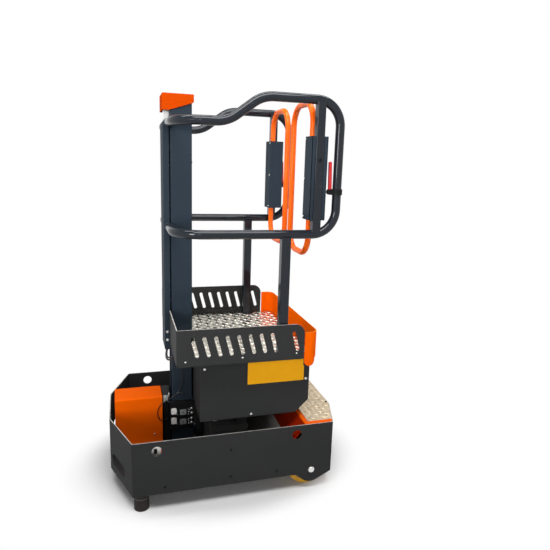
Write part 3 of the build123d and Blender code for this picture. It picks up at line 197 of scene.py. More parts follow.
class PickerDetails(bpy.types.PropertyGroup):
    """Sizes of the dressing."""

    bar_length: length_setting("Tread bar length", "Length of one raised bar", 0.036)
    bar_width: length_setting("Tread bar width", "Width of one raised bar", 0.0105)
    bar_height: length_setting("Tread bar height", "Rise of a bar over the floor tread", 0.0024)
    step_bar_height: length_setting("Step bar height", "Rise of a bar over the step tread", 0.0017)
    bar_pitch: length_setting("Tread pitch", "Distance from one bar to the next", 0.0275)
    tread_margin: length_setting("Tread margin", "Bare edge of the tread plate", 0.004)
    screw_diameter: length_setting("Screw", "Head diameter of the panel screws", 0.013)
    rivet_diameter: length_setting("Rivet", "Head diameter of the kick panel rivets", 0.008)
    weld_radius: length_setting("Weld", "Radius of the weld beads", 0.0022)
    edge_radius: length_setting("Edge", "Rounding that the finish gives to sheet edges", 0.0012)


class PickerStage(bpy.types.PropertyGroup):
    """Camera, light and floor."""

    camera_place: FloatVectorProperty(
        name="Camera", description="Where the camera stands", default=(-0.4432, -2.4001, 1.4648),
        subtype="TRANSLATION", unit="LENGTH",
    )
    camera_yaw: FloatProperty(
        name="Yaw", description="Turn of the camera about Z", default=radians(-16.72), subtype="ANGLE"
    )
    camera_pitch: FloatProperty(
        name="Pitch", description="How far the camera looks down", default=radians(11.88), subtype="ANGLE"
    )
    camera_roll: FloatProperty(
        name="Roll", description="Tilt of the picture", default=radians(1.893), subtype="ANGLE"
    )
    lens: FloatProperty(
        name="Lens", description="Focal length on a 36 mm sensor", default=34.01, unit="CAMERA"
    )
    floor_colour: colour_setting("Floor", "Pale studio floor", (0.86, 0.86, 0.86))
    floor_bounce: colour_setting("Floor bounce", "Floor colour in the light it throws back", (0.3, 0.3, 0.3))
    sky_light: FloatProperty(name="Sky light", description="Light from all round", default=0.13, min=0.0)
    wall_glow: FloatProperty(
        name="Wall glow", description="Extra light from low down all round", default=3.3, min=0.0
    )
    ceiling: FloatProperty(name="Ceiling", description="Brightness of the ceiling", default=0.25, min=0.0)
    top_strip: power_setting("Top strip", "Power of the overhead strip", 48.0)
    front_strip: power_setting("Front strip", "Power of the upright strip beside the camera", 5.0)
    key_box: power_setting("Key box", "Power of the large softbox above the near side", 80.0)
    side_box: power_setting("Side box", "Power of the gridded softbox at the front left", 3.0)


def tint(name, factor=1.0):
    """One of the user's colours with alpha, made lighter or darker."""
    colour = getattr(bpy.context.scene.picker_colours, name)
    return tuple(min(channel * factor, 1.0) for channel in colour) + (1.0,)


def details():
    """The user's sizes."""
    return bpy.context.scene.picker_details


class Signal:
    """A shader socket that Python's arithmetic works on: each operation adds one Math node."""

    def __init__(self, nodes, socket):
        self.nodes = nodes
        self.socket = socket

    def __add__(self, other):
        return self.nodes.maths("ADD", self, other)

    def __sub__(self, other):
        return self.nodes.maths("SUBTRACT", self, other)

    def __rsub__(self, other):
        return self.nodes.maths("SUBTRACT", other, self)

    def __mul__(self, other):
        return self.nodes.maths("MULTIPLY", self, other)

    __radd__ = __add__
    __rmul__ = __mul__


class Nodes:
    """A node tree that is filled node by node."""

    def __init__(self, tree):
        self.tree = tree
        tree.nodes.clear()

    def add(self, kind, settings, sockets, result=None):
        """Add a node with its settings, then the values or links of its sockets; one output comes back."""
        node = self.tree.nodes.new(kind)
        for name, value in settings.items():
            setattr(node, name, value)
        for name, value in sockets.items():
            target = next(s for s in node.inputs if name in (s.identifier, s.name))
            if isinstance(value, Signal):
                self.tree.links.new(value.socket, target)
            else:
                target.default_value = value
        if result:
            return Signal(self, next(s for s in node.outputs if result in (s.identifier, s.name)))

    def maths(self, operation, first, second):
        """One Math node."""
        sockets = {"Value": first, "Value_001": second}
        return self.add("ShaderNodeMath", {"operation": operation}, sockets, "Value")

    def ramp(self, value, low, high):
        """0 below low, 1 above high, and smooth between them."""
        sockets = {"Value": value, "From Min": low, "From Max": high}
        return self.add("ShaderNodeMapRange", {"interpolation_type": "SMOOTHSTEP"}, sockets, "Result")

    def axis(self, vector, letter):
        """One component of a vector."""
        return self.add("ShaderNodeSeparateXYZ", {}, {"Vector": vector}, letter)

    def seen(self):
        """1 for what the camera sees, straight, mirrored or through glass."""
        kinds = ("Camera", "Glossy", "Transmission")
        straight, mirrored, through = (
            self.add("ShaderNodeLightPath", {}, {}, f"Is {kind} Ray") for kind in kinds
        )
        return straight + mirrored + through


class Finish(Nodes):
    """The node tree of one material."""

    def __init__(self, name):
        self.material = bpy.data.materials.new(name)
        self.material.use_nodes = True
        super().__init__(self.material.node_tree)
        self.place = self.add("ShaderNodeTexCoord", {}, {}, "Object")

    def stretched(self, factors):
        """The place on the object with each axis scaled, for streaks and brushed lines."""
        sockets = {"Vector": self.place, "Vector_001": factors}
        return self.add("ShaderNodeVectorMath", {"operation": "MULTIPLY"}, sockets, "Vector")

    def noise(self, scale, detail=3.0, vector=None):
        """Cloudy noise from 0 to 1."""
        sockets = {"Vector": vector or self.place, "Scale": scale, "Detail": detail}
        return self.add("ShaderNodeTexNoise", {}, sockets, "Fac")

    def cells(self, scale):
        """Distance to the nearest point of a scattered set."""
        return self.add("ShaderNodeTexVoronoi", {}, {"Vector": self.place, "Scale": scale}, "Distance")

    def blend(self, factor, first, second):
        """Mix two colours."""
        sockets = {"Factor_Float": factor, "A_Color": first, "B_Color": second}
        return self.add("ShaderNodeMix", {"data_type": "RGBA"}, sockets, "Result_Color")

    def mottled(self, factor, colour, low, high):
        """One of the user's colours, from darker to lighter with a factor."""
        return self.blend(factor, tint(colour, low), tint(colour, high))

    def facing(self):
        """The surface's own normal."""
        return self.add("ShaderNodeNewGeometry", {}, {}, "Normal")

    def rounded(self, radius):
        """Normal with the sharp edges rounded off."""
        return self.add("ShaderNodeBevel", {"samples": 6}, {"Radius": radius}, "Normal")

    def edges(self, rounded):
        """1 on edges, 0 on flat stretches."""
        sockets = {"Vector": rounded, "Vector_001": self.facing()}
        flat = self.add("ShaderNodeVectorMath", {"operation": "DOT_PRODUCT"}, sockets, "Value")
        return self.ramp(1 - flat, 0.01, 0.16)

    def bare_and_lit_rims(self, heights):
        """1 on the upward faces at some heights, where a sheet's cut edge shows; these rims carry bare metal
        and painted highlight.
        """
        height = self.axis(self.place, "Z")
        upward = self.ramp(self.axis(self.facing(), "Z"), 0.6, 0.9)
        total = 0.0
        for top in heights:
            under = self.ramp(height, top - 0.0025, top - 0.0010)
            total = total + under * (1 - self.ramp(height, top, top + 0.001))
        return upward * total

    def bump(self, height, distance, normal=None):
        """Normal bent by a height."""
        sockets = {"Height": height, "Distance": distance}
        if normal:
            sockets["Normal"] = normal
        return self.add("ShaderNodeBump", {}, sockets, "Normal")

    def grained(self, height, distance):
        """Normal with rounded edges, bent by a height."""
        return self.bump(height, distance, self.rounded(details().edge_radius))

    def surface(self, **sockets):
        """Principled surface and output; the material is then done."""
        named = {name.replace("_", " "): value for name, value in sockets.items()}
        return self.shown(self.add("ShaderNodeBsdfPrincipled", {}, named, "BSDF"))

    def shown(self, shader):
        """Give the shader to the output."""
        self.add("ShaderNodeOutputMaterial", {}, {"Surface": shader})
        return self.material


def painted_sheet(name, colour, roughness, specular, coat, wear, rims=(), rim_and_highlight_colour=None, lower=()):
    """Paint with orange peel, clouds, dust, worn edges, cut rims lightened as bare metal and as painted
    highlight, and other colours low down, painted shade among them.
    """
    f = Finish(name)
    cloud = f.noise(6.0, 4.0)
    peel = f.noise(380.0, 2.0)
    grain = f.noise(2400.0, 2.0)
    rounded = f.rounded(details().edge_radius)
    chips = f.ramp(f.noise(45.0, 5.0), 0.35, 0.70)
    worn = f.edges(rounded) * (chips * wear)
    scuff = f.ramp(f.noise(3.0, 6.0, f.stretched((5.0, 5.0, 70.0))), 0.62, 0.72)
    dust = f.ramp(f.axis(f.facing(), "Z"), 0.7, 1.0) * f.noise(14.0, 5.0)
    shade = f.mottled(cloud, colour, 0.90, 1.10)
    # Colours below heights; the step's deep red among them is painted shade
    for edge, below in lower:
        under = 1 - f.ramp(f.axis(f.place, "Z"), edge - 0.001, edge + 0.001)
        shade = f.blend(under, shade, tint(below))
    shade = f.blend(scuff * 0.03, shade, tint("bare_metal", 0.6))
    shade = f.blend(dust * 0.02, shade, tint("bare_metal"))
    shade = f.blend(worn, shade, tint("bare_metal"))
    # Cut rims lightened from above: bare metal and painted highlight on dark sheet, painted highlight on
    # orange
    if rims:
        shade = f.blend(f.bare_and_lit_rims(rims) * (0.55 + chips * 0.35), shade, tint(rim_and_highlight_colour))
    return f.surface(
        Base_Color=shade,
        Roughness=roughness + (cloud - 0.5) * 0.14 + (peel - 0.5) * 0.08 + scuff * 0.05,
        Specular_IOR_Level=specular,
        Coat_Weight=coat,
        Coat_Roughness=0.07,
        Normal=f.bump(peel * 0.7 + grain * 0.3, 0.00010, rounded),
    )


def anthracite_sheet():
    """Fine textured anthracite of the tray and panels."""
    return painted_sheet(
        "anthracite_powder_coat", "anthracite", roughness=0.55, specular=0.03, coat=0.0, wear=0.30,
        # Light top edges of tray and kick panels: bare cut metal and painted highlight
        rims=(TRAY_HIGH.z, KICK_HIGH.z), rim_and_highlight_colour="rim",
    )


def mast_paint():
    """Satin blue-black of the mast's flat profiles."""
    return painted_sheet(
        "mast_satin_paint", "mast", roughness=0.50, specular=0.0, coat=0.10, wear=0.02,
        # Light top edges of the foot's cheeks: bare cut metal and painted highlight
        rims=(FOOT_HIGH.z,), rim_and_highlight_colour="bare_metal",
    )


def rail_paint():
    """The same paint on the tubes, where it is glossier."""
    return painted_sheet("rail_gloss_paint", "rail", roughness=0.30, specular=0.05, coat=0.55, wear=0.02)


def gate_paint():
    """Glossy orange of the gates' tubes."""
    return painted_sheet("orange_gloss_paint", "orange", roughness=0.36, specular=0.04, coat=0.30, wear=0.02)


def orange_sheet():
    """Satin orange of the front cover and the rear guard, with a painted highlight on the guard's top edge.
    """
    return painted_sheet(
        "orange_powder_coat", "orange", **SATIN, rims=(GUARD_HIGH.z,), rim_and_highlight_colour="orange_rim_highlight"
    )


def cap_sheet():
    """The mast cap's orange, made deeper as painted shade."""
    return painted_sheet("cap_powder_coat", "cap_painted_shade", **SATIN)


def step_sheet():
    """The step's orange on top and deep red painted shade on its front, whose lower part is left bare."""
    bands = ((STEP_PAINTED_SHADE_TOP, "step_painted_shade"), (STEP_BARE, "bare_metal"))
    return painted_sheet("step_powder_coat", "orange", **SATIN, lower=bands)


def rolled_aluminium(name, colour, roughness, grime, painted=None):
    """Aluminium with mill lines, smudges and traffic's dirt, and painted shade in the mast's colour below a
    height if one is given.
    """
    f = Finish(name)
    lines = f.noise(40.0, 4.0, f.stretched((2.0, 60.0, 2.0)))
    smudge = f.noise(16.0, 5.0)
    dirt = f.ramp(f.noise(75.0, 6.0), 0.42, 0.68)
    tone = f.mottled(smudge, colour, 0.84, 1.10)
    # Below the height, the mast's colour paints the shade of the gap that the profile runs in
    if painted:
        below = 1 - f.ramp(f.axis(f.place, "Z"), painted - 0.004, painted)
        tone = f.blend(below, tone, tint("mast", 1.4))
    return f.surface(
        Base_Color=f.blend(dirt * grime, tone, tint("grime")),
        Metallic=1.0,
        Roughness=roughness + (smudge - 0.5) * 0.20 + (lines - 0.5) * 0.10 + dirt * (grime * 0.3),
        Normal=f.grained(lines, 0.00008),
    )


def bare_aluminium():
    """Bright drawn profile of the inner mast, with painted shade in the mast's colour where it runs in the
    mast.
    """
    return rolled_aluminium(
        "drawn_aluminium", "aluminium", roughness=0.26, grime=0.06, painted=CARRIAGE_HIGH.z
    )


def tread_field():
    """Trodden plate of the platform floor."""
    return rolled_aluminium("tread_plate_field", "plate_field", roughness=0.22, grime=0.25)


def tread_bar_metal():
    """Polished bars of the platform floor."""
    return rolled_aluminium("tread_plate_bars", "plate_bar", roughness=0.38, grime=0.08)


def step_field():
    """Pale plate of the rear step."""
    return rolled_aluminium("step_plate_field", "step_field", roughness=0.46, grime=0.26)


def step_bar_metal():
    """Bars of the rear step."""
    return rolled_aluminium("step_plate_bars", "step_bar", roughness=0.42, grime=0.14)


def zinc_steel():
    """Bright zinc plating with a faint spangle."""
    f = Finish("zinc_plated_steel")
    smudge_colour = (0.66, 0.63, 0.54, 1.0)
    spangle = f.cells(160.0)
    smudge = f.noise(30.0, 4.0)
    tone = f.mottled(spangle, "zinc", 0.85, 1.12)
    return f.surface(
        Base_Color=f.blend(smudge * 0.25, tone, smudge_colour),
        Metallic=1.0,
        Roughness=0.26 + (smudge - 0.5) * 0.18 + (spangle - 0.5) * 0.08,
        Normal=f.bump(f.noise(600.0, 2.0), 0.00004, f.rounded(details().edge_radius * 0.5)),
    )


def cast_hub():
    """Dark cast iron with a sandy skin."""
    f = Finish("cast_iron")
    skin = f.noise(700.0, 4.0)
    cloud = f.noise(25.0, 4.0)
    return f.surface(
        Base_Color=f.mottled(cloud, "cast", 0.8, 1.25),
        Metallic=0.4,
        Roughness=0.58 + (skin - 0.5) * 0.25,
        Normal=f.grained(skin, 0.0002),
    )


def yellow_tyre():
    """Yellow polyurethane with dirty marks from the floor."""
    f = Finish("yellow_polyurethane")
    cloud = f.noise(20.0, 4.0)
    marks = f.ramp(f.noise(45.0, 6.0), 0.50, 0.72)
    tone = f.mottled(cloud, "tyre", 0.88, 1.1)
    return f.surface(
        Base_Color=f.blend(marks * 0.30, tone, tint("grime")),
        Roughness=0.42 + (cloud - 0.5) * 0.2 + marks * 0.15,
        Normal=f.grained(f.noise(320.0, 3.0), 0.0001),
    )


def black_rubber():
    """Black rubber with a dry bloom and fine pores."""
    f = Finish("black_rubber")
    bloom = f.ramp(f.noise(35.0, 5.0), 0.40, 0.75)
    pores = f.noise(1500.0, 3.0)
    return f.surface(
        Base_Color=f.mottled(bloom * 0.5, "rubber", 1.0, 2.0),
        Roughness=0.66 + (pores - 0.5) * 0.2 + bloom * 0.08,
        Specular_IOR_Level=0.3,
        Normal=f.grained(pores, 0.00012),
    )


def moulded_plastic(name, colour, roughness, specular):
    """Moulded plastic with a spark-eroded grain and faint handling marks."""
    f = Finish(name)
    marks = f.noise(28.0, 5.0)
    return f.surface(
        Base_Color=f.mottled(marks, colour, 0.88, 1.14),
        Roughness=roughness + (marks - 0.5) * 0.16,
        Specular_IOR_Level=specular,
        Normal=f.grained(f.cells(1300.0), 0.00006),
    )


def black_plastic():
    """Black housings."""
    return moulded_plastic("black_moulded_plastic", "black", roughness=0.50, specular=0.10)


def battery_case():
    """Dark grey battery cases."""
    return moulded_plastic("battery_case_plastic", "case", roughness=0.50, specular=0.3)


def grey_plastic():
    """Light grey switch on the tank."""
    return moulded_plastic("grey_moulded_plastic", "grey", roughness=0.42, specular=0.4)


def red_plastic():
    """Glossy red levers, stop button and socket flap."""
    return moulded_plastic("red_moulded_plastic", "red", roughness=0.26, specular=0.35)


def green_plastic():
    """Glossy green up button."""
    return moulded_plastic("green_moulded_plastic", "green", roughness=0.26, specular=0.35)


def white_plastic():
    """Off-white coil caps and charging socket, with the valve's plugs in grey."""
    f = Finish("valve_cap_plastic")
    between = (VALVE_CAPS_LOW.x + VALVE_CAPS_HIGH.x) / 2
    plug = f.ramp(f.axis(f.place, "X"), between - 0.002, between + 0.002)
    marks = f.noise(60.0, 4.0)
    cap = f.mottled(marks, "white", 0.92, 1.05)
    socket = f.mottled(marks, "grey", 0.55, 0.80)
    return f.surface(
        Base_Color=f.blend(plug, cap, socket),
        Roughness=0.36 + (marks - 0.5) * 0.15,
        Normal=f.grained(f.cells(1300.0), 0.00005),
    )


def cable_sheath():
    """Smooth black sheath with a slight drawn texture."""
    f = Finish("cable_sheath")
    drawn = f.noise(500.0, 3.0)
    return f.surface(
        Base_Color=f.mottled(f.noise(40.0), "black", 0.9, 1.3),
        Roughness=0.22 + (drawn - 0.5) * 0.12,
        Normal=f.bump(drawn, 0.00004),
    )


def weld_metal():
    """Painted weld bead with its ripples."""
    f = Finish("painted_weld")
    cloud = f.noise(30.0)
    return f.surface(
        Base_Color=f.mottled(cloud, "mast", 0.85, 1.15),
        Roughness=0.34 + (cloud - 0.5) * 0.2,
        Specular_IOR_Level=0.3,
        Normal=f.bump(f.noise(520.0, 2.0), 0.0006),
    )


def yellow_plate():
    """Blank plate, slightly faded."""
    f = Finish("yellow_printed_plate")
    speck_colour = (0.35, 0.17, 0.01, 1.0)
    fade = f.noise(16.0, 4.0)
    specks = f.ramp(f.noise(220.0, 3.0), 0.66, 0.74)
    tone = f.mottled(fade, "plate", 0.93, 1.06)
    return f.surface(
        Base_Color=f.blend(specks * 0.10, tone, speck_colour),
        Roughness=0.34 + (fade - 0.5) * 0.14,
        Specular_IOR_Level=0.2,
        Normal=f.bump(f.noise(300.0), 0.00003, f.rounded(0.0006)),
    )


# The finishes by the names of their functions
FINISHES = {
    make.__name__: make
    for make in (
        anthracite_sheet, mast_paint, rail_paint, gate_paint, orange_sheet, cap_sheet, step_sheet,
        bare_aluminium, tread_field, tread_bar_metal, step_field, step_bar_metal, zinc_steel, cast_hub,
        yellow_tyre, black_rubber, black_plastic, battery_case, grey_plastic, red_plastic, green_plastic,
        white_plastic, cable_sheath, weld_metal, yellow_plate,
    )
}

# Nodes whose finish isn't the one that their slot names
OWN_FINISHES = {
    "floor_tread": "tread_field",
    "step_tread": "step_field",
    "step_box": "step_sheet",
    "mast_cap": "cap_sheet",
}
for side_name in SIDES:
    OWN_FINISHES["gate_" + side_name] = "gate_paint"
    OWN_FINISHES["battery_" + side_name] = "battery_case"
    for tube in ("guard_rail_", "rail_post_", "gate_post_"):
        OWN_FINISHES[tube + side_name] = "rail_paint"

# Materials made so far
made_finishes = {}


def finish(name):
    """The material of that name, made when it is first asked for."""
    if name not in made_finishes:
        made_finishes[name] = FINISHES[name]()
    return made_finishes[name]


def facing(place, normal):
    """Matrix that stands a shape made on the XY plane at a place, with its Z along the normal."""
    return Matrix.Translation(place) @ Vector(normal).to_track_quat("Z", "Y").to_matrix().to_4x4()


def copies(shape, places):
    """Copy all of a shape to each place and drop the original."""
    master = shape.verts[:] + shape.edges[:] + shape.faces[:]
    first = shape.verts[:]
    for place in places:
        made = bmesh.ops.duplicate(shape, geom=master)["geom"]
        moved = [part for part in made if isinstance(part, bmesh.types.BMVert)]
        bmesh.ops.transform(shape, matrix=place, verts=moved)
    bmesh.ops.delete(shape, geom=first, context="VERTS")
    return shape


def turned(profile, steps):
    """Shape of revolution about Z from points of radius and height, by a full spin."""
    shape = bmesh.new()
    points = [shape.verts.new((radius, 0.0, height)) for radius, height in profile]
    lines = [shape.edges.new(pair) for pair in zip(points, points[1:])]
    bmesh.ops.spin(
        shape, geom=points + lines, cent=(0, 0, 0), axis=(0, 0, 1), angle=2 * pi, steps=steps, use_merge=True
    )
    bmesh.ops.remove_doubles(shape, verts=shape.verts, dist=1e-6)
    bmesh.ops.recalc_face_normals(shape, faces=shape.faces)
    return shape


def plain_block(shape, low, high):
    """Add a box between two corners; its edges come back."""
    low, high = Vector(low), Vector(high)
    made = bmesh.ops.create_cube(shape, size=1.0)["verts"]
    bmesh.ops.scale(shape, vec=high - low, verts=made)
    bmesh.ops.translate(shape, vec=(low + high) / 2, verts=made)
    return list(dict.fromkeys(edge for vert in made for edge in vert.link_edges))


def round_edges(shape, edges, radius, segments=2):
    """Round some edges of a shape."""
    bmesh.ops.bevel(
        shape, geom=edges, offset=radius, segments=segments, profile=0.5, affect="EDGES", material=-1
    )
    return shape


def block(shape, low, high, radius):
    """Add a box between two corners with rounded edges."""
    return round_edges(shape, plain_block(shape, low, high), radius)


def screw_head(diameter):
    """Pan head with a socket, standing on the XY plane."""
    r = diameter / 2
    return turned(
        [(0, 0.22 * r), (0.30 * r, 0.22 * r), (0.34 * r, 0.62 * r), (0.62 * r, 0.60 * r),
         (0.86 * r, 0.46 * r), (r, 0.18 * r), (r, -0.1 * r), (0, -0.1 * r)],
        steps=16,
    )


def rivet_head(diameter):
    """Low dome with a small pit, standing on the XY plane."""
    r = diameter / 2
    return turned(
        [(0, 0.30 * r), (0.22 * r, 0.32 * r), (0.30 * r, 0.42 * r), (0.60 * r, 0.36 * r),
         (0.88 * r, 0.20 * r), (r, 0), (r, -0.1 * r), (0, -0.1 * r)],
        steps=14,
    )


def hex_bolt(across_flats):
    """Hexagon head on a washer, standing on the XY plane."""
    a = across_flats
    wide = 0.94 * a
    washer = [(0, 0.14 * a), (wide - 0.04 * a, 0.14 * a), (wide, 0.10 * a), (wide, -0.02 * a), (0, -0.02 * a)]
    shape = turned(washer, 24)
    made = bmesh.ops.create_cone(
        shape, cap_ends=True, segments=6, radius1=a / 3 ** 0.5, radius2=a / 3 ** 0.5, depth=0.6 * a,
        matrix=Matrix.Translation((0, 0, 0.44 * a)),
    )
    top = max(v.co.z for v in made["verts"])
    rim = [e for e in shape.edges if all(abs(v.co.z - top) < 1e-6 for v in e.verts)]
    return round_edges(shape, rim, 0.07 * a)


def cable_gland(radius):
    """Gland with a domed nut round a cable, standing on the XY plane."""
    r = radius
    return turned(
        [(0.95 * r, 0.2 * r), (1.05 * r, 4.0 * r), (1.4 * r, 3.9 * r), (1.65 * r, 3.0 * r),
         (1.7 * r, 1.5 * r), (1.8 * r, 1.4 * r), (1.8 * r, 0), (0.95 * r, 0.2 * r)],
        steps=18,
    )


def piece(name, shape, body, finish_name, sharp=38.0):
    """Make a bmesh into an object at the origin that rides on a body."""
    mesh = bpy.data.meshes.new(name)
    shape.to_mesh(mesh)
    shape.free()
    mesh.shade_smooth()
    mesh.set_sharp_from_angle(angle=radians(sharp))
    mesh.materials.append(finish(finish_name))
    made = bpy.data.objects.new(name, mesh)
    bpy.context.scene.collection.objects.link(made)
    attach(made, body)
    return made


def both_sides(points, reach):
    """Places on both side faces of the machine, from points of X and Z, facing out."""
    return [facing((x, side * reach, z), (0, side, 0)) for side in SIDES.values() for x, z in points]


class PICKER_OT_finishes(bpy.types.Operator):
    """Put a finish on every node of the frame"""

    bl_idname = "picker.finishes"
    bl_label = "Finishes"

    def execute(self, context):
        for part in frame["record"]["subparts"]:
            chosen = OWN_FINISHES.get(part["node"], part["material_slot"])
            for slot in NODES[part["node"]].material_slots:
                slot.material = finish(chosen)
        return {"FINISHED"}


class PICKER_OT_cables(bpy.types.Operator):
    """Hang the two control cables and the thin cable of the mast"""

    bl_idname = "picker.cables"
    bl_label = "Cables"

    def execute(self, context):
        for name, (body, node, diameter, length, route) in CABLES.items():
            curve = bpy.data.curves.new(name, "CURVE")
            curve.dimensions = "3D"
            curve.bevel_depth = diameter / 2
            curve.bevel_resolution = 5
            curve.use_fill_caps = True
            spline = curve.splines.new("NURBS")
            spline.points.add(len(route) - 1)
            for point, place in zip(spline.points, route):
                point.co = (*place, 1.0)
            spline.order_u = 3
            spline.use_endpoint_u = True
            spline.resolution_u = 16
            curve.materials.append(finish("cable_sheath"))
            cable = bpy.data.objects.new(name, curve)
            context.scene.collection.objects.link(cable)
            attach(cable, body)
            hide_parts(node)
        return {"FINISHED"}


def tread_bar(height):
    """One raised bar of a tread plate: a long low lens along X."""
    size = details()
    top_scale = (0.78, 0.42, 1.0)
    shape = bmesh.new()
    bmesh.ops.create_circle(shape, cap_ends=True, segments=10, radius=0.5)
    bmesh.ops.scale(shape, vec=(size.bar_length, size.bar_width, 1.0), verts=shape.verts)
    top = bmesh.ops.extrude_face_region(shape, geom=shape.faces[:])["geom"]
    raised = [part for part in top if isinstance(part, bmesh.types.BMVert)]
    bmesh.ops.scale(shape, vec=top_scale, verts=raised)
    bmesh.ops.translate(shape, vec=(0, 0, height), verts=raised)
    bmesh.ops.recalc_face_normals(shape, faces=shape.faces)
    return shape


def tread_places(low, high, allowed):
    """Places of the bars: a square pattern whose bars lean to the left and to the right in turn."""
    size = details()
    middle = (low + high) / 2
    columns = int((high.x - low.x) / size.bar_pitch / 2) + 1
    rows = int((high.y - low.y) / size.bar_pitch / 2) + 1
    places = []
    for column in range(-columns, columns + 1):
        for row in range(-rows, rows + 1):
            turn = radians(45 if (row + column) % 2 else -45)
            spot = Vector((middle.x + column * size.bar_pitch, middle.y + row * size.bar_pitch))
            reach = Vector((cos(turn), sin(turn))) * size.bar_length / 2
            if all(allowed(end.x, abs(end.y)) for end in (spot + reach, spot - reach)):
                places.append(Matrix.Translation((*spot, high.z)) @ Matrix.Rotation(turn, 4, "Z"))
    return places


def on_floor(x, y):
    """Whether a bar may reach this point of the floor tread; y is the distance from the middle."""
    margin = details().tread_margin
    inside = FLOOR_LOW.x + margin < x < FLOOR_HIGH.x - margin and y < FLOOR_HIGH.y - margin
    beyond = Vector((x - FLOOR_HIGH.x + FLOOR_CORNER, y - FLOOR_HIGH.y + FLOOR_CORNER))
    in_corner = min(beyond) > 0 and beyond.length > FLOOR_CORNER - margin
    mast_gap = 4 * margin
    at_mast = x < MAST_HIGH.x + mast_gap and y < MAST_HIGH.y + mast_gap
    beside = RAIL_POST_LOW.x - margin < x < RAIL_POST_HIGH.x + margin
    at_post = beside and y > -RAIL_POST_HIGH.y - margin
    return inside and not (in_corner or at_mast or at_post)


def on_step(x, y):
    """Whether a bar may reach this point of the step tread; y is the distance from the middle."""
    margin = details().tread_margin
    inside = STEP_LOW.x + margin < x < STEP_HIGH.x - margin and y < STEP_HIGH.y - margin
    taper = Vector((TRAY_HIGH.y - REAR_FACE_HALF, REAR_TAPER)).normalized()
    over = taper.dot(Vector((x - TRAY_HIGH.x + REAR_TAPER, y - TRAY_HIGH.y)))
    return inside and over < -2 * margin


class PICKER_OT_tread_bars(bpy.types.Operator):
    """Raise the bars of the two tread plates"""

    bl_idname = "picker.tread_bars"
    bl_label = "Tread bars"

    def execute(self, context):
        size = details()
        floor = copies(tread_bar(size.bar_height), tread_places(FLOOR_LOW, FLOOR_HIGH, on_floor))
        piece("floor_tread_bars", floor, "platform", "tread_bar_metal", sharp=30.0)
        step = copies(tread_bar(size.step_bar_height), tread_places(STEP_LOW, STEP_HIGH, on_step))
        piece("step_tread_bars", step, "base", "step_bar_metal", sharp=30.0)
        return {"FINISHED"}


class PICKER_OT_tray_screws(bpy.types.Operator):
    """Set the dark screws in the tray's side walls, the bolts on its floor and the screws of the step"""

    bl_idname = "picker.tray_screws"
    bl_label = "Tray screws"

    def execute(self, context):
        wall = [(-0.294, 0.111), (-0.010, 0.246), (-0.009, 0.117), (0.203, 0.113)]
        heads = copies(screw_head(TRAY_SCREW), both_sides(wall, TRAY_HIGH.y))
        piece("tray_screws", heads, "base", "black_plastic")
        foot_inset = 0.016
        corners = [
            facing((x, side * (FOOT_HIGH.y - foot_inset), MAST_LOW.z), UP)
            for x in (FOOT_LOW.x + foot_inset, FOOT_HIGH.x - foot_inset) for side in SIDES.values()
        ]
        piece("mast_foot_bolts", copies(hex_bolt(FOOT_BOLT), corners), "base", "zinc_steel")
        castor_inset = 0.011
        half = (CASTOR_HIGH.x - CASTOR_LOW.x) / 2
        reach = half - castor_inset
        nuts = [
            facing((CASTOR_LOW.x + half + dx, side * (CASTOR_HIGH.y - half) + dy, TRAY_FLOOR), UP)
            for side in SIDES.values() for dx in (-reach, reach) for dy in (-reach, reach)
        ]
        piece("castor_bolts", copies(hex_bolt(CASTOR_BOLT), nuts), "base", "zinc_steel")
        step_inset = 0.009
        from_middle = 0.188
        step = [
            facing((STEP_HIGH.x - step_inset, side * from_middle, STEP_HIGH.z), UP) for side in SIDES.values()
        ]
        piece("step_screws", copies(screw_head(STEP_SCREW), step), "base", "black_plastic")
        return {"FINISHED"}


class PICKER_OT_panel_screws(bpy.types.Operator):
    """Set the rivets and screws of kick panels, equipment box, cover and gate housings"""

    bl_idname = "picker.panel_screws"
    bl_label = "Panel screws"

    def execute(self, context):
        size = details()
        kick = both_sides([(-0.206, 0.665), (0.034, 0.667), (0.274, 0.670)], -KICK_LOW.y)
        piece("kick_panel_rivets", copies(rivet_head(size.rivet_diameter), kick), "platform", "zinc_steel")
        box = both_sides([(-0.115, 0.596), (0.096, 0.364), (0.351, 0.514)], -PANEL_LOW.y)
        piece("box_panel_screws", copies(screw_head(size.screw_diameter), box), "platform", "zinc_steel")
        cover_inset = 0.036
        cover_height = 0.192
        cover = both_sides([(COVER_HIGH.x - cover_inset, cover_height)], COVER_HIGH.y)
        piece("cover_screws", copies(screw_head(0.8 * size.screw_diameter), cover), "base", "zinc_steel")
        end_inset = 0.010
        edge_inset = 0.007
        middle = (HOUSING_LOW.z + HOUSING_HIGH.z) / 2
        heights = [HOUSING_LOW.z + end_inset, middle, HOUSING_HIGH.z - end_inset]
        inner = -HOUSING_HIGH.y + edge_inset
        ends = ((HOUSING_LOW.x, FRONT), (HOUSING_HIGH.x, REAR))
        housing = [
            facing((x, side * inner, z), way) for side in SIDES.values() for x, way in ends for z in heights
        ]
        piece("gate_housing_screws", copies(screw_head(HOUSING_SCREW), housing), "platform", "zinc_steel")
        return {"FINISHED"}


class PICKER_OT_housing_lips(bpy.types.Operator):
    """Close the gate housings beside their posts with narrow lips"""

    bl_idname = "picker.housing_lips"
    bl_label = "Housing lips"

    def execute(self, context):
        sheet = 0.0015
        edge = sheet / 5
        lips = bmesh.new()
        for first, last in ((HOUSING_LOW.x, GATE_POST_LOW.x), (GATE_POST_HIGH.x, HOUSING_HIGH.x)):
            low = (first, HOUSING_LOW.y, HOUSING_LOW.z)
            block(lips, low, (last, HOUSING_LOW.y + sheet, HOUSING_HIGH.z), edge)
        near = lips.verts[:] + lips.edges[:] + lips.faces[:]
        bmesh.ops.mirror(lips, geom=near, axis="Y", merge_dist=0.0)
        bmesh.ops.recalc_face_normals(lips, faces=lips.faces)
        piece("gate_housing_lips", lips, "platform", "mast_paint")
        return {"FINISHED"}


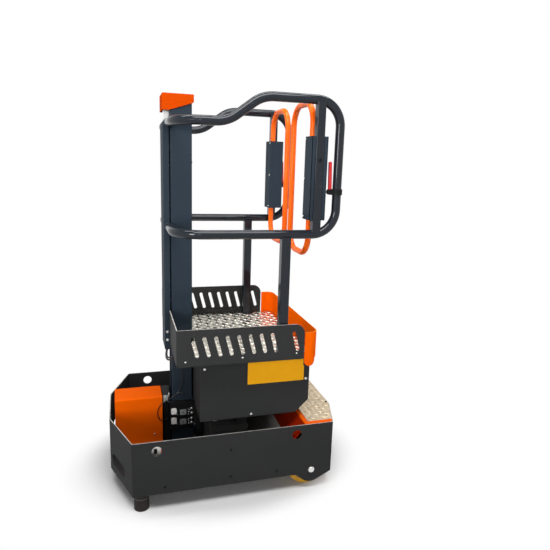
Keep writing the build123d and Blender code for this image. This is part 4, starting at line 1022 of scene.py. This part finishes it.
class PICKER_OT_post_plugs(bpy.types.Operator):
    """Press black plugs into the gate posts and set black screws in the mast's rear"""

    bl_idname = "picker.post_plugs"
    bl_label = "Post plugs"

    def execute(self, context):
        plug_height = 1.493
        middle = (GATE_POST_LOW.x + GATE_POST_HIGH.x) / 2
        plugs = both_sides([(middle, plug_height)], -GATE_POST_LOW.y)
        piece("gate_post_plugs", copies(rivet_head(POST_PLUG), plugs), "platform", "black_plastic")
        screw_height = 1.467
        from_middle = 0.65 * MAST_HIGH.y
        rear = [facing((MAST_HIGH.x, side * from_middle, screw_height), REAR) for side in SIDES.values()]
        piece("mast_rear_screws", copies(screw_head(MAST_SCREW), rear), "base", "black_plastic")
        return {"FINISHED"}


class PICKER_OT_foot_rings(bpy.types.Operator):
    """Put a dark ring round each brake foot"""

    bl_idname = "picker.foot_rings"
    bl_label = "Foot rings"

    def execute(self, context):
        ring_height = 0.055
        section = [
            (-0.001, 0), (0.0008, 0.0005), (0.0012, 0.0025), (0.0008, 0.0045), (-0.001, 0.005), (-0.001, 0)
        ]
        for side in SIDES:
            low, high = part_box("brake_foot_" + side)
            radius = (high.x - low.x) / 2
            ring = turned([(radius + out, up) for out, up in section], steps=48)
            place = Matrix.Translation(((low.x + high.x) / 2, (low.y + high.y) / 2, ring_height))
            piece("foot_ring_" + side, copies(ring, [place]), "brake_foot_" + side, "cast_hub")
        return {"FINISHED"}


class PICKER_OT_yellow_plate(bpy.types.Operator):
    """Stick the blank yellow plate on the equipment box"""

    bl_idname = "picker.yellow_plate"
    bl_label = "Yellow plate"

    def execute(self, context):
        thickness = 0.0008
        size = Vector((0.263, thickness, 0.104))
        high = Vector((PANEL_HIGH.x - 0.027, PANEL_LOW.y, PANEL_HIGH.z - 0.028))
        shape = bmesh.new()
        edges = plain_block(shape, high - size, high)
        corners = [e for e in edges if abs(e.verts[0].co.y - e.verts[1].co.y) > thickness / 2]
        round_edges(shape, corners, 0.003, segments=5)
        piece("blank_yellow_plate", shape, "platform", "yellow_plate")
        return {"FINISHED"}


def weld_arc(shape, centre, axis, radius, middle, sweep):
    """Bead along an arc about an axis; middle is the direction of the arc's middle from the centre."""
    bead = details().weld_radius
    axis = Vector(axis)
    out = Matrix.Rotation(-sweep / 2, 3, axis) @ Vector(middle)
    start = Vector(centre) + out * radius
    ring = bmesh.ops.create_circle(
        shape, cap_ends=True, segments=8, radius=bead, matrix=facing(start, axis.cross(out))
    )["verts"]
    faces = [f for f in shape.faces if all(v in ring for v in f.verts)]
    bmesh.ops.spin(
        shape, geom=faces, cent=centre, axis=axis, angle=sweep, steps=16, use_merge=False, use_duplicate=False
    )


class PICKER_OT_weld_beads(bpy.types.Operator):
    """Run the weld beads where posts meet rails and rails meet the carriage"""

    bl_idname = "picker.weld_beads"
    bl_label = "Weld beads"

    def execute(self, context):
        lower_rail = RAIL_LOW.z + RAIL_RADIUS
        upper_rail = RAIL_HIGH.z - RAIL_RADIUS
        rail_drop = 0.015
        front_end = CARRIAGE_HIGH.z - rail_drop
        rail_y = -(GATE_POST_LOW.y + GATE_POST_HIGH.y) / 2
        gate_post_sweep = radians(120)
        rail_post_sweep = radians(110)
        end_sweep = radians(180)
        shape = bmesh.new()
        for side in SIDES.values():
            y = side * rail_y
            for x in (GATE_POST_LOW.x, GATE_POST_HIGH.x):
                weld_arc(shape, (x, y, lower_rail), REAR, RAIL_RADIUS, UP, gate_post_sweep)
            for x in (RAIL_POST_LOW.x, RAIL_POST_HIGH.x):
                weld_arc(shape, (x, y, lower_rail), REAR, RAIL_RADIUS, DOWN, rail_post_sweep)
            weld_arc(shape, (GATE_POST_LOW.x, y, upper_rail), REAR, RAIL_RADIUS, DOWN, gate_post_sweep)
            for z in (lower_rail, front_end):
                end = (RAIL_LOW.x + RAIL_RADIUS, side * CARRIAGE_HIGH.y, z)
                weld_arc(shape, end, FAR, RAIL_RADIUS, FRONT, end_sweep)
        bmesh.ops.recalc_face_normals(shape, faces=shape.faces)
        piece("rail_welds", shape, "platform", "weld_metal", sharp=60.0)
        return {"FINISHED"}


class PICKER_OT_valve_fittings(bpy.types.Operator):
    """Fit the valve block with terminal strips, pipe unions and screws"""

    bl_idname = "picker.valve_fittings"
    bl_label = "Valve fittings"

    def execute(self, context):
        face_y = VALVE_LOW.y
        rows = [VALVE_HIGH.z - drop for drop in (0.052, 0.101)]
        strip_x = VALVE_HIGH.x - 0.024
        strip_low = Vector((-0.006, -0.007, -0.018))
        strip_high = Vector((0.006, 0.0, 0.020))
        strips = bmesh.new()
        for z in rows:
            middle = Vector((strip_x, face_y, z))
            block(strips, middle + strip_low, middle + strip_high, 0.001)
        piece("terminal_strips", strips, "base", "black_plastic")
        strip_y = face_y + strip_low.y
        dots = [facing((strip_x, strip_y, z + rise), NEAR) for z in rows for rise in (-0.010, 0.002, 0.014)]
        piece("terminal_screws", copies(screw_head(TERMINAL_SCREW), dots), "base", "zinc_steel")
        union_x = VALVE_HIGH.x - 0.009
        unions = [facing((union_x, face_y, z + rise), NEAR) for z in rows for rise in (-0.010, 0.012)]
        piece("pipe_unions", copies(hex_bolt(PIPE_UNION), unions), "base", "zinc_steel")
        screw_x = VALVE_LOW.x + 0.031
        screw_drop = 0.011
        beside = [facing((screw_x, face_y, z - screw_drop), NEAR) for z in rows]
        piece("valve_screws", copies(screw_head(VALVE_SCREW), beside), "base", "zinc_steel")
        plug_x = VALVE_LOW.x + 0.058
        plugs = [facing((plug_x, VALVE_CAPS_LOW.y, z), NEAR) for z in rows]
        piece("plug_screws", copies(screw_head(PLUG_SCREW), plugs), "base", "black_plastic")
        return {"FINISHED"}


class PICKER_OT_tank_switch(bpy.types.Operator):
    """Fix the level switch and its thin bracket to the oil tank"""

    bl_idname = "picker.tank_switch"
    bl_label = "Tank switch"

    def execute(self, context):
        front_corner = Vector((TANK_LOW.x, TANK_LOW.y, TANK_HIGH.z))
        rear_corner = Vector((TANK_HIGH.x, TANK_LOW.y, TANK_HIGH.z))
        switch_depth = 0.006
        low = front_corner + Vector((0.001, -switch_depth, -0.036))
        high = front_corner + Vector((0.025, 0.0, -0.004))
        piece("tank_switch", block(bmesh.new(), low, high, 0.002), "base", "grey_plastic")
        low = rear_corner + Vector((-0.009, -0.002, -0.047))
        high = rear_corner + Vector((-0.004, 0.0, 0.003))
        piece("tank_bracket", block(bmesh.new(), low, high, 0.0005), "base", "zinc_steel")
        screws = [
            facing(front_corner + Vector((0.013, -switch_depth, -drop)), NEAR) for drop in (0.010, 0.030)
        ]
        piece("tank_switch_screws", copies(screw_head(SWITCH_SCREW), screws), "base", "zinc_steel")
        return {"FINISHED"}


class PICKER_OT_cable_glands(bpy.types.Operator):
    """Fit the glands of the cables and the nuts on the carriage's side"""

    bl_idname = "picker.cable_glands"
    bl_label = "Cable glands"

    def execute(self, context):
        front, rear, thin = (route for *_, route in CABLES.values())
        ends = [facing(route[-1], FRONT) for route in (front, rear)]
        piece("box_cable_glands", copies(cable_gland(CONTROL_CABLE / 2), ends), "platform", "black_plastic")
        grommets = [facing(end, NEAR) for end in (thin[0], thin[-1])]
        piece("mast_cable_grommets", copies(cable_gland(THIN_CABLE / 2), grommets), "base", "black_rubber")
        nut_x = CARRIAGE_LOW.x + 0.012
        nuts = [facing((nut_x, CARRIAGE_LOW.y, CARRIAGE_LOW.z + rise), NEAR) for rise in (0.047, 0.085)]
        piece("carriage_nuts", copies(hex_bolt(CARRIAGE_NUT), nuts), "platform", "zinc_steel")
        return {"FINISHED"}


class PICKER_OT_battery_tops(bpy.types.Operator):
    """Stand terminals and filler caps on the batteries"""

    bl_idname = "picker.battery_tops"
    bl_label = "Battery tops"

    def execute(self, context):
        post_inset = 0.030
        post_reach = 0.070
        cap_inset = 0.050
        cap_margin = 0.045
        caps_each = 6
        posts = []
        caps = []
        for name, side in SIDES.items():
            low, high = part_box("battery_" + name)
            middle = side * (BATTERY_HIGH.y - BATTERY_LOW.y) / 2
            for y in (middle - post_reach, middle + post_reach):
                posts.append(facing((low.x + post_inset, y, high.z), UP))
            gap = (high.y - low.y - 2 * cap_margin) / (caps_each - 1)
            for index in range(caps_each):
                caps.append(facing((high.x - cap_inset, low.y + cap_margin + index * gap, high.z), UP))
        post = [(0, 0.018), (0.0075, 0.018), (0.0085, 0.016), (0.0095, -0.001), (0, -0.001)]
        piece("battery_posts", copies(turned(post, steps=18), posts), "base", "zinc_steel")
        cap = [(0, 0.006), (0.009, 0.006), (0.0105, 0.0045), (0.011, -0.0005), (0, -0.0005)]
        piece("battery_caps", copies(turned(cap, steps=18), caps), "base", "black_plastic")
        return {"FINISHED"}


class PICKER_OT_button_bezels(bpy.types.Operator):
    """Put rings round the control box's buttons and screws in its corners"""

    bl_idname = "picker.button_bezels"
    bl_label = "Button bezels"

    def execute(self, context):
        low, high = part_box("control_box")
        rings = []
        for button in ("up_button", "down_button"):
            first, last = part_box(button)
            rings.append(facing(((first.x + last.x) / 2, low.y, (first.z + last.z) / 2), NEAR))
        section = [
            (0.0116, -0.0003), (0.0116, 0.0022), (0.0126, 0.0026), (0.0140, 0.0016), (0.0144, -0.0003),
            (0.0116, -0.0003),
        ]
        piece("button_bezels", copies(turned(section, steps=28), rings), "platform", "zinc_steel")
        side_inset = 0.008
        heights = (low.z + 0.009, high.z - 0.012)
        corners = [
            facing((x, low.y, z), NEAR) for x in (low.x + side_inset, high.x - side_inset) for z in heights
        ]
        piece("control_box_screws", copies(screw_head(CONTROL_SCREW), corners), "platform", "zinc_steel")
        return {"FINISHED"}


class PICKER_OT_charging_socket(bpy.types.Operator):
    """Stand the charging socket on its bracket behind the tray's front hole on the left"""

    bl_idname = "picker.charging_socket"
    bl_label = "Charging socket"

    def execute(self, context):
        wall_gap = 0.024
        depth = 0.026
        face_y = TRAY_LOW.y + wall_gap
        rear_y = face_y + depth
        low = Vector((SIDE_HOLE.x - 0.030, face_y, SIDE_HOLE.y - 0.040))
        high = Vector((SIDE_HOLE.x + 0.022, rear_y, SIDE_HOLE.y + 0.016))
        piece("charging_socket", block(bmesh.new(), low, high, 0.004), "base", "white_plastic")
        mouth_low = low + Vector((0.019, -0.003, 0.018))
        mouth_high = low + Vector((0.033, 0.004, 0.040))
        mouth = block(bmesh.new(), mouth_low, mouth_high, 0.0012)
        rim = 0.0015
        recess = 0.0025
        front = [f for f in mouth.faces if f.normal.y < -0.9]
        bmesh.ops.inset_region(mouth, faces=front, thickness=rim)
        bmesh.ops.translate(mouth, vec=(0, recess, 0), verts=list({v for f in front for v in f.verts}))
        piece("socket_mouth", mouth, "base", "black_plastic")
        flap_low = (high.x - 0.003, face_y - 0.002, low.z + 0.006)
        flap_high = (high.x + 0.008, rear_y, high.z - 0.006)
        piece("socket_flap", block(bmesh.new(), flap_low, flap_high, 0.002), "base", "red_plastic")
        sheet = 0.003
        foot = 0.040
        inset = 0.010
        edge = 0.0008
        start = (low.x + inset, rear_y, TRAY_FLOOR)
        last_x = high.x - inset
        bracket = block(bmesh.new(), start, (last_x, rear_y + sheet, high.z - inset), edge)
        block(bracket, start, (last_x, rear_y + foot, TRAY_FLOOR + sheet), edge)
        piece("socket_bracket", bracket, "base", "zinc_steel")
        return {"FINISHED"}


def studio_world(stage):
    """White walls to the camera and to reflections, with a darker ceiling; as a light, soft and low."""
    world = bpy.data.worlds.new("studio")
    world.use_nodes = True
    bpy.context.scene.world = world
    n = Nodes(world.node_tree)
    wall_top = (0.35, 0.75)
    glow_top = (0.08, 0.22)
    direction = n.add("ShaderNodeTexCoord", {}, {}, "Generated")
    height = n.axis(direction, "Z")
    walls = 1 - n.ramp(height, *wall_top) * (1 - stage.ceiling)
    light = stage.sky_light + (1 - n.ramp(height, *glow_top)) * stage.wall_glow
    strength = light + n.seen() * (walls - light)
    sockets = {"Color": (1.0, 1.0, 1.0, 1.0), "Strength": strength}
    background = n.add("ShaderNodeBackground", {}, sockets, "Background")
    n.add("ShaderNodeOutputWorld", {}, {"Surface": background})


def studio_floor(stage):
    """Pale floor that keeps the shadow and fades to white away from the machine."""
    f = Finish("studio_floor")
    fade = (0.40, 0.57)
    half_size = 12.0
    flat = f.stretched((TRAY_HIGH.y / TRAY_HIGH.x, 1.0, 1.0))
    reach = f.add("ShaderNodeVectorMath", {"operation": "LENGTH"}, {"Vector": flat}, "Value")
    far = f.ramp(reach, *fade) * f.seen()
    pale = f.blend(f.seen(), (*stage.floor_bounce, 1.0), (*stage.floor_colour, 1.0))
    matt = f.add("ShaderNodeBsdfDiffuse", {}, {"Color": pale}, "BSDF")
    white = f.add("ShaderNodeEmission", {}, {"Strength": 1.0}, "Emission")
    f.shown(f.add("ShaderNodeMixShader", {}, {"Fac": far, "Shader": matt, "Shader_001": white}, "Shader"))
    shape = bmesh.new()
    bmesh.ops.create_grid(shape, x_segments=1, y_segments=1, size=half_size)
    mesh = bpy.data.meshes.new("studio_floor")
    shape.to_mesh(mesh)
    shape.free()
    mesh.materials.append(f.material)
    floor = bpy.data.objects.new("studio_floor", mesh)
    bpy.context.scene.collection.objects.link(floor)


def softbox(name, place, target, width, height, power, spread=pi):
    """Area lamp aimed at a point; its width lies level, and a grid may narrow its spread."""
    lamp = bpy.data.lights.new(name, "AREA")
    lamp.shape = "RECTANGLE"
    lamp.energy = power
    lamp.size = width
    lamp.size_y = height
    lamp.spread = spread
    made = bpy.data.objects.new(name, lamp)
    made.location = place
    made.rotation_euler = (Vector(target) - Vector(place)).to_track_quat("-Z", "Y").to_euler()
    bpy.context.scene.collection.objects.link(made)


class PICKER_OT_stage(bpy.types.Operator):
    """Set up the camera, the light and the floor"""

    bl_idname = "picker.stage"
    bl_label = "Stage"

    def execute(self, context):
        stage = context.scene.picker_stage
        yaw, pitch, roll = stage.camera_yaw, stage.camera_pitch, stage.camera_roll
        back = Vector((sin(yaw) * cos(pitch), -cos(yaw) * cos(pitch), sin(pitch)))
        level = Vector((cos(yaw), sin(yaw), 0.0))
        upright = back.cross(level)
        right = cos(roll) * level + sin(roll) * upright
        up = cos(roll) * upright - sin(roll) * level
        data = bpy.data.cameras.new("photo_camera")
        data.sensor_width = 36.0
        data.lens = stage.lens
        camera = bpy.data.objects.new("photo_camera", data)
        context.scene.collection.objects.link(camera)
        turn = Matrix((right, up, back)).transposed().to_4x4()
        camera.matrix_world = Matrix.Translation(stage.camera_place) @ turn
        context.scene.camera = camera
        context.scene.view_settings.view_transform = "Standard"
        studio_world(stage)
        studio_floor(stage)
        softbox("top_strip", (0.0, 0.1, 3.3), (0.0, 0.0, 0.0), width=3.2, height=0.34, power=stage.top_strip)
        softbox(
            "front_strip", (-1.3, -3.5, 1.9), (0.0, 0.0, 0.8), width=0.09, height=2.4, power=stage.front_strip
        )
        softbox(
            "side_box", (-2.4, -2.5, 1.8), (0.0, -0.1, 1.3), width=0.9, height=0.9, power=stage.side_box,
            spread=radians(40),
        )
        softbox("key_box", (-0.2, -1.5, 3.4), (0.0, -0.2, 0.6), width=2.4, height=1.0, power=stage.key_box)
        return {"FINISHED"}


class PICKER_PT_panel(bpy.types.Panel):
    """Sidebar panel with the steps in order"""

    bl_idname = "PICKER_PT_panel"
    bl_label = "Order Picker"
    bl_space_type = "VIEW_3D"
    bl_region_type = "UI"
    bl_category = "Order Picker"

    def draw(self, context):
        for operator in OPERATORS:
            self.layout.operator(operator.bl_idname)
        for group in GROUPS:
            settings = getattr(context.scene, group)
            for name in settings.bl_rna.properties.keys():
                if name not in ("rna_type", "name"):
                    self.layout.prop(settings, name)


GROUPS = {"picker_colours": PickerColours, "picker_details": PickerDetails, "picker_stage": PickerStage}
OPERATORS = [
    PICKER_OT_stage,
    PICKER_OT_cables,
    PICKER_OT_finishes,
    PICKER_OT_tread_bars,
    PICKER_OT_tray_screws,
    PICKER_OT_panel_screws,
    PICKER_OT_housing_lips,
    PICKER_OT_post_plugs,
    PICKER_OT_foot_rings,
    PICKER_OT_yellow_plate,
    PICKER_OT_weld_beads,
    PICKER_OT_valve_fittings,
    PICKER_OT_tank_switch,
    PICKER_OT_cable_glands,
    PICKER_OT_battery_tops,
    PICKER_OT_button_bezels,
    PICKER_OT_charging_socket,
]


def register():
    """Register the settings, the steps and the panel."""
    for name, group in GROUPS.items():
        bpy.utils.register_class(group)
        setattr(bpy.types.Scene, name, PointerProperty(type=group))
    for made in OPERATORS + [PICKER_PT_panel]:
        bpy.utils.register_class(made)


def unregister():
    """Take everything off again, last first."""
    for made in reversed(OPERATORS + [PICKER_PT_panel]):
        bpy.utils.unregister_class(made)
    for name, group in GROUPS.items():
        delattr(bpy.types.Scene, name)
        bpy.utils.unregister_class(group)


def main():
    """Run the steps in order."""
    register()
    bpy.ops.picker.stage()
    bpy.ops.picker.cables()
    bpy.ops.picker.finishes()
    bpy.ops.picker.tread_bars()
    bpy.ops.picker.tray_screws()
    bpy.ops.picker.panel_screws()
    bpy.ops.picker.housing_lips()
    bpy.ops.picker.post_plugs()
    bpy.ops.picker.foot_rings()
    bpy.ops.picker.yellow_plate()
    bpy.ops.picker.weld_beads()
    bpy.ops.picker.valve_fittings()
    bpy.ops.picker.tank_switch()
    bpy.ops.picker.cable_glands()
    bpy.ops.picker.battery_tops()
    bpy.ops.picker.button_bezels()
    bpy.ops.picker.charging_socket()


if __name__ == "__main__":
    main()
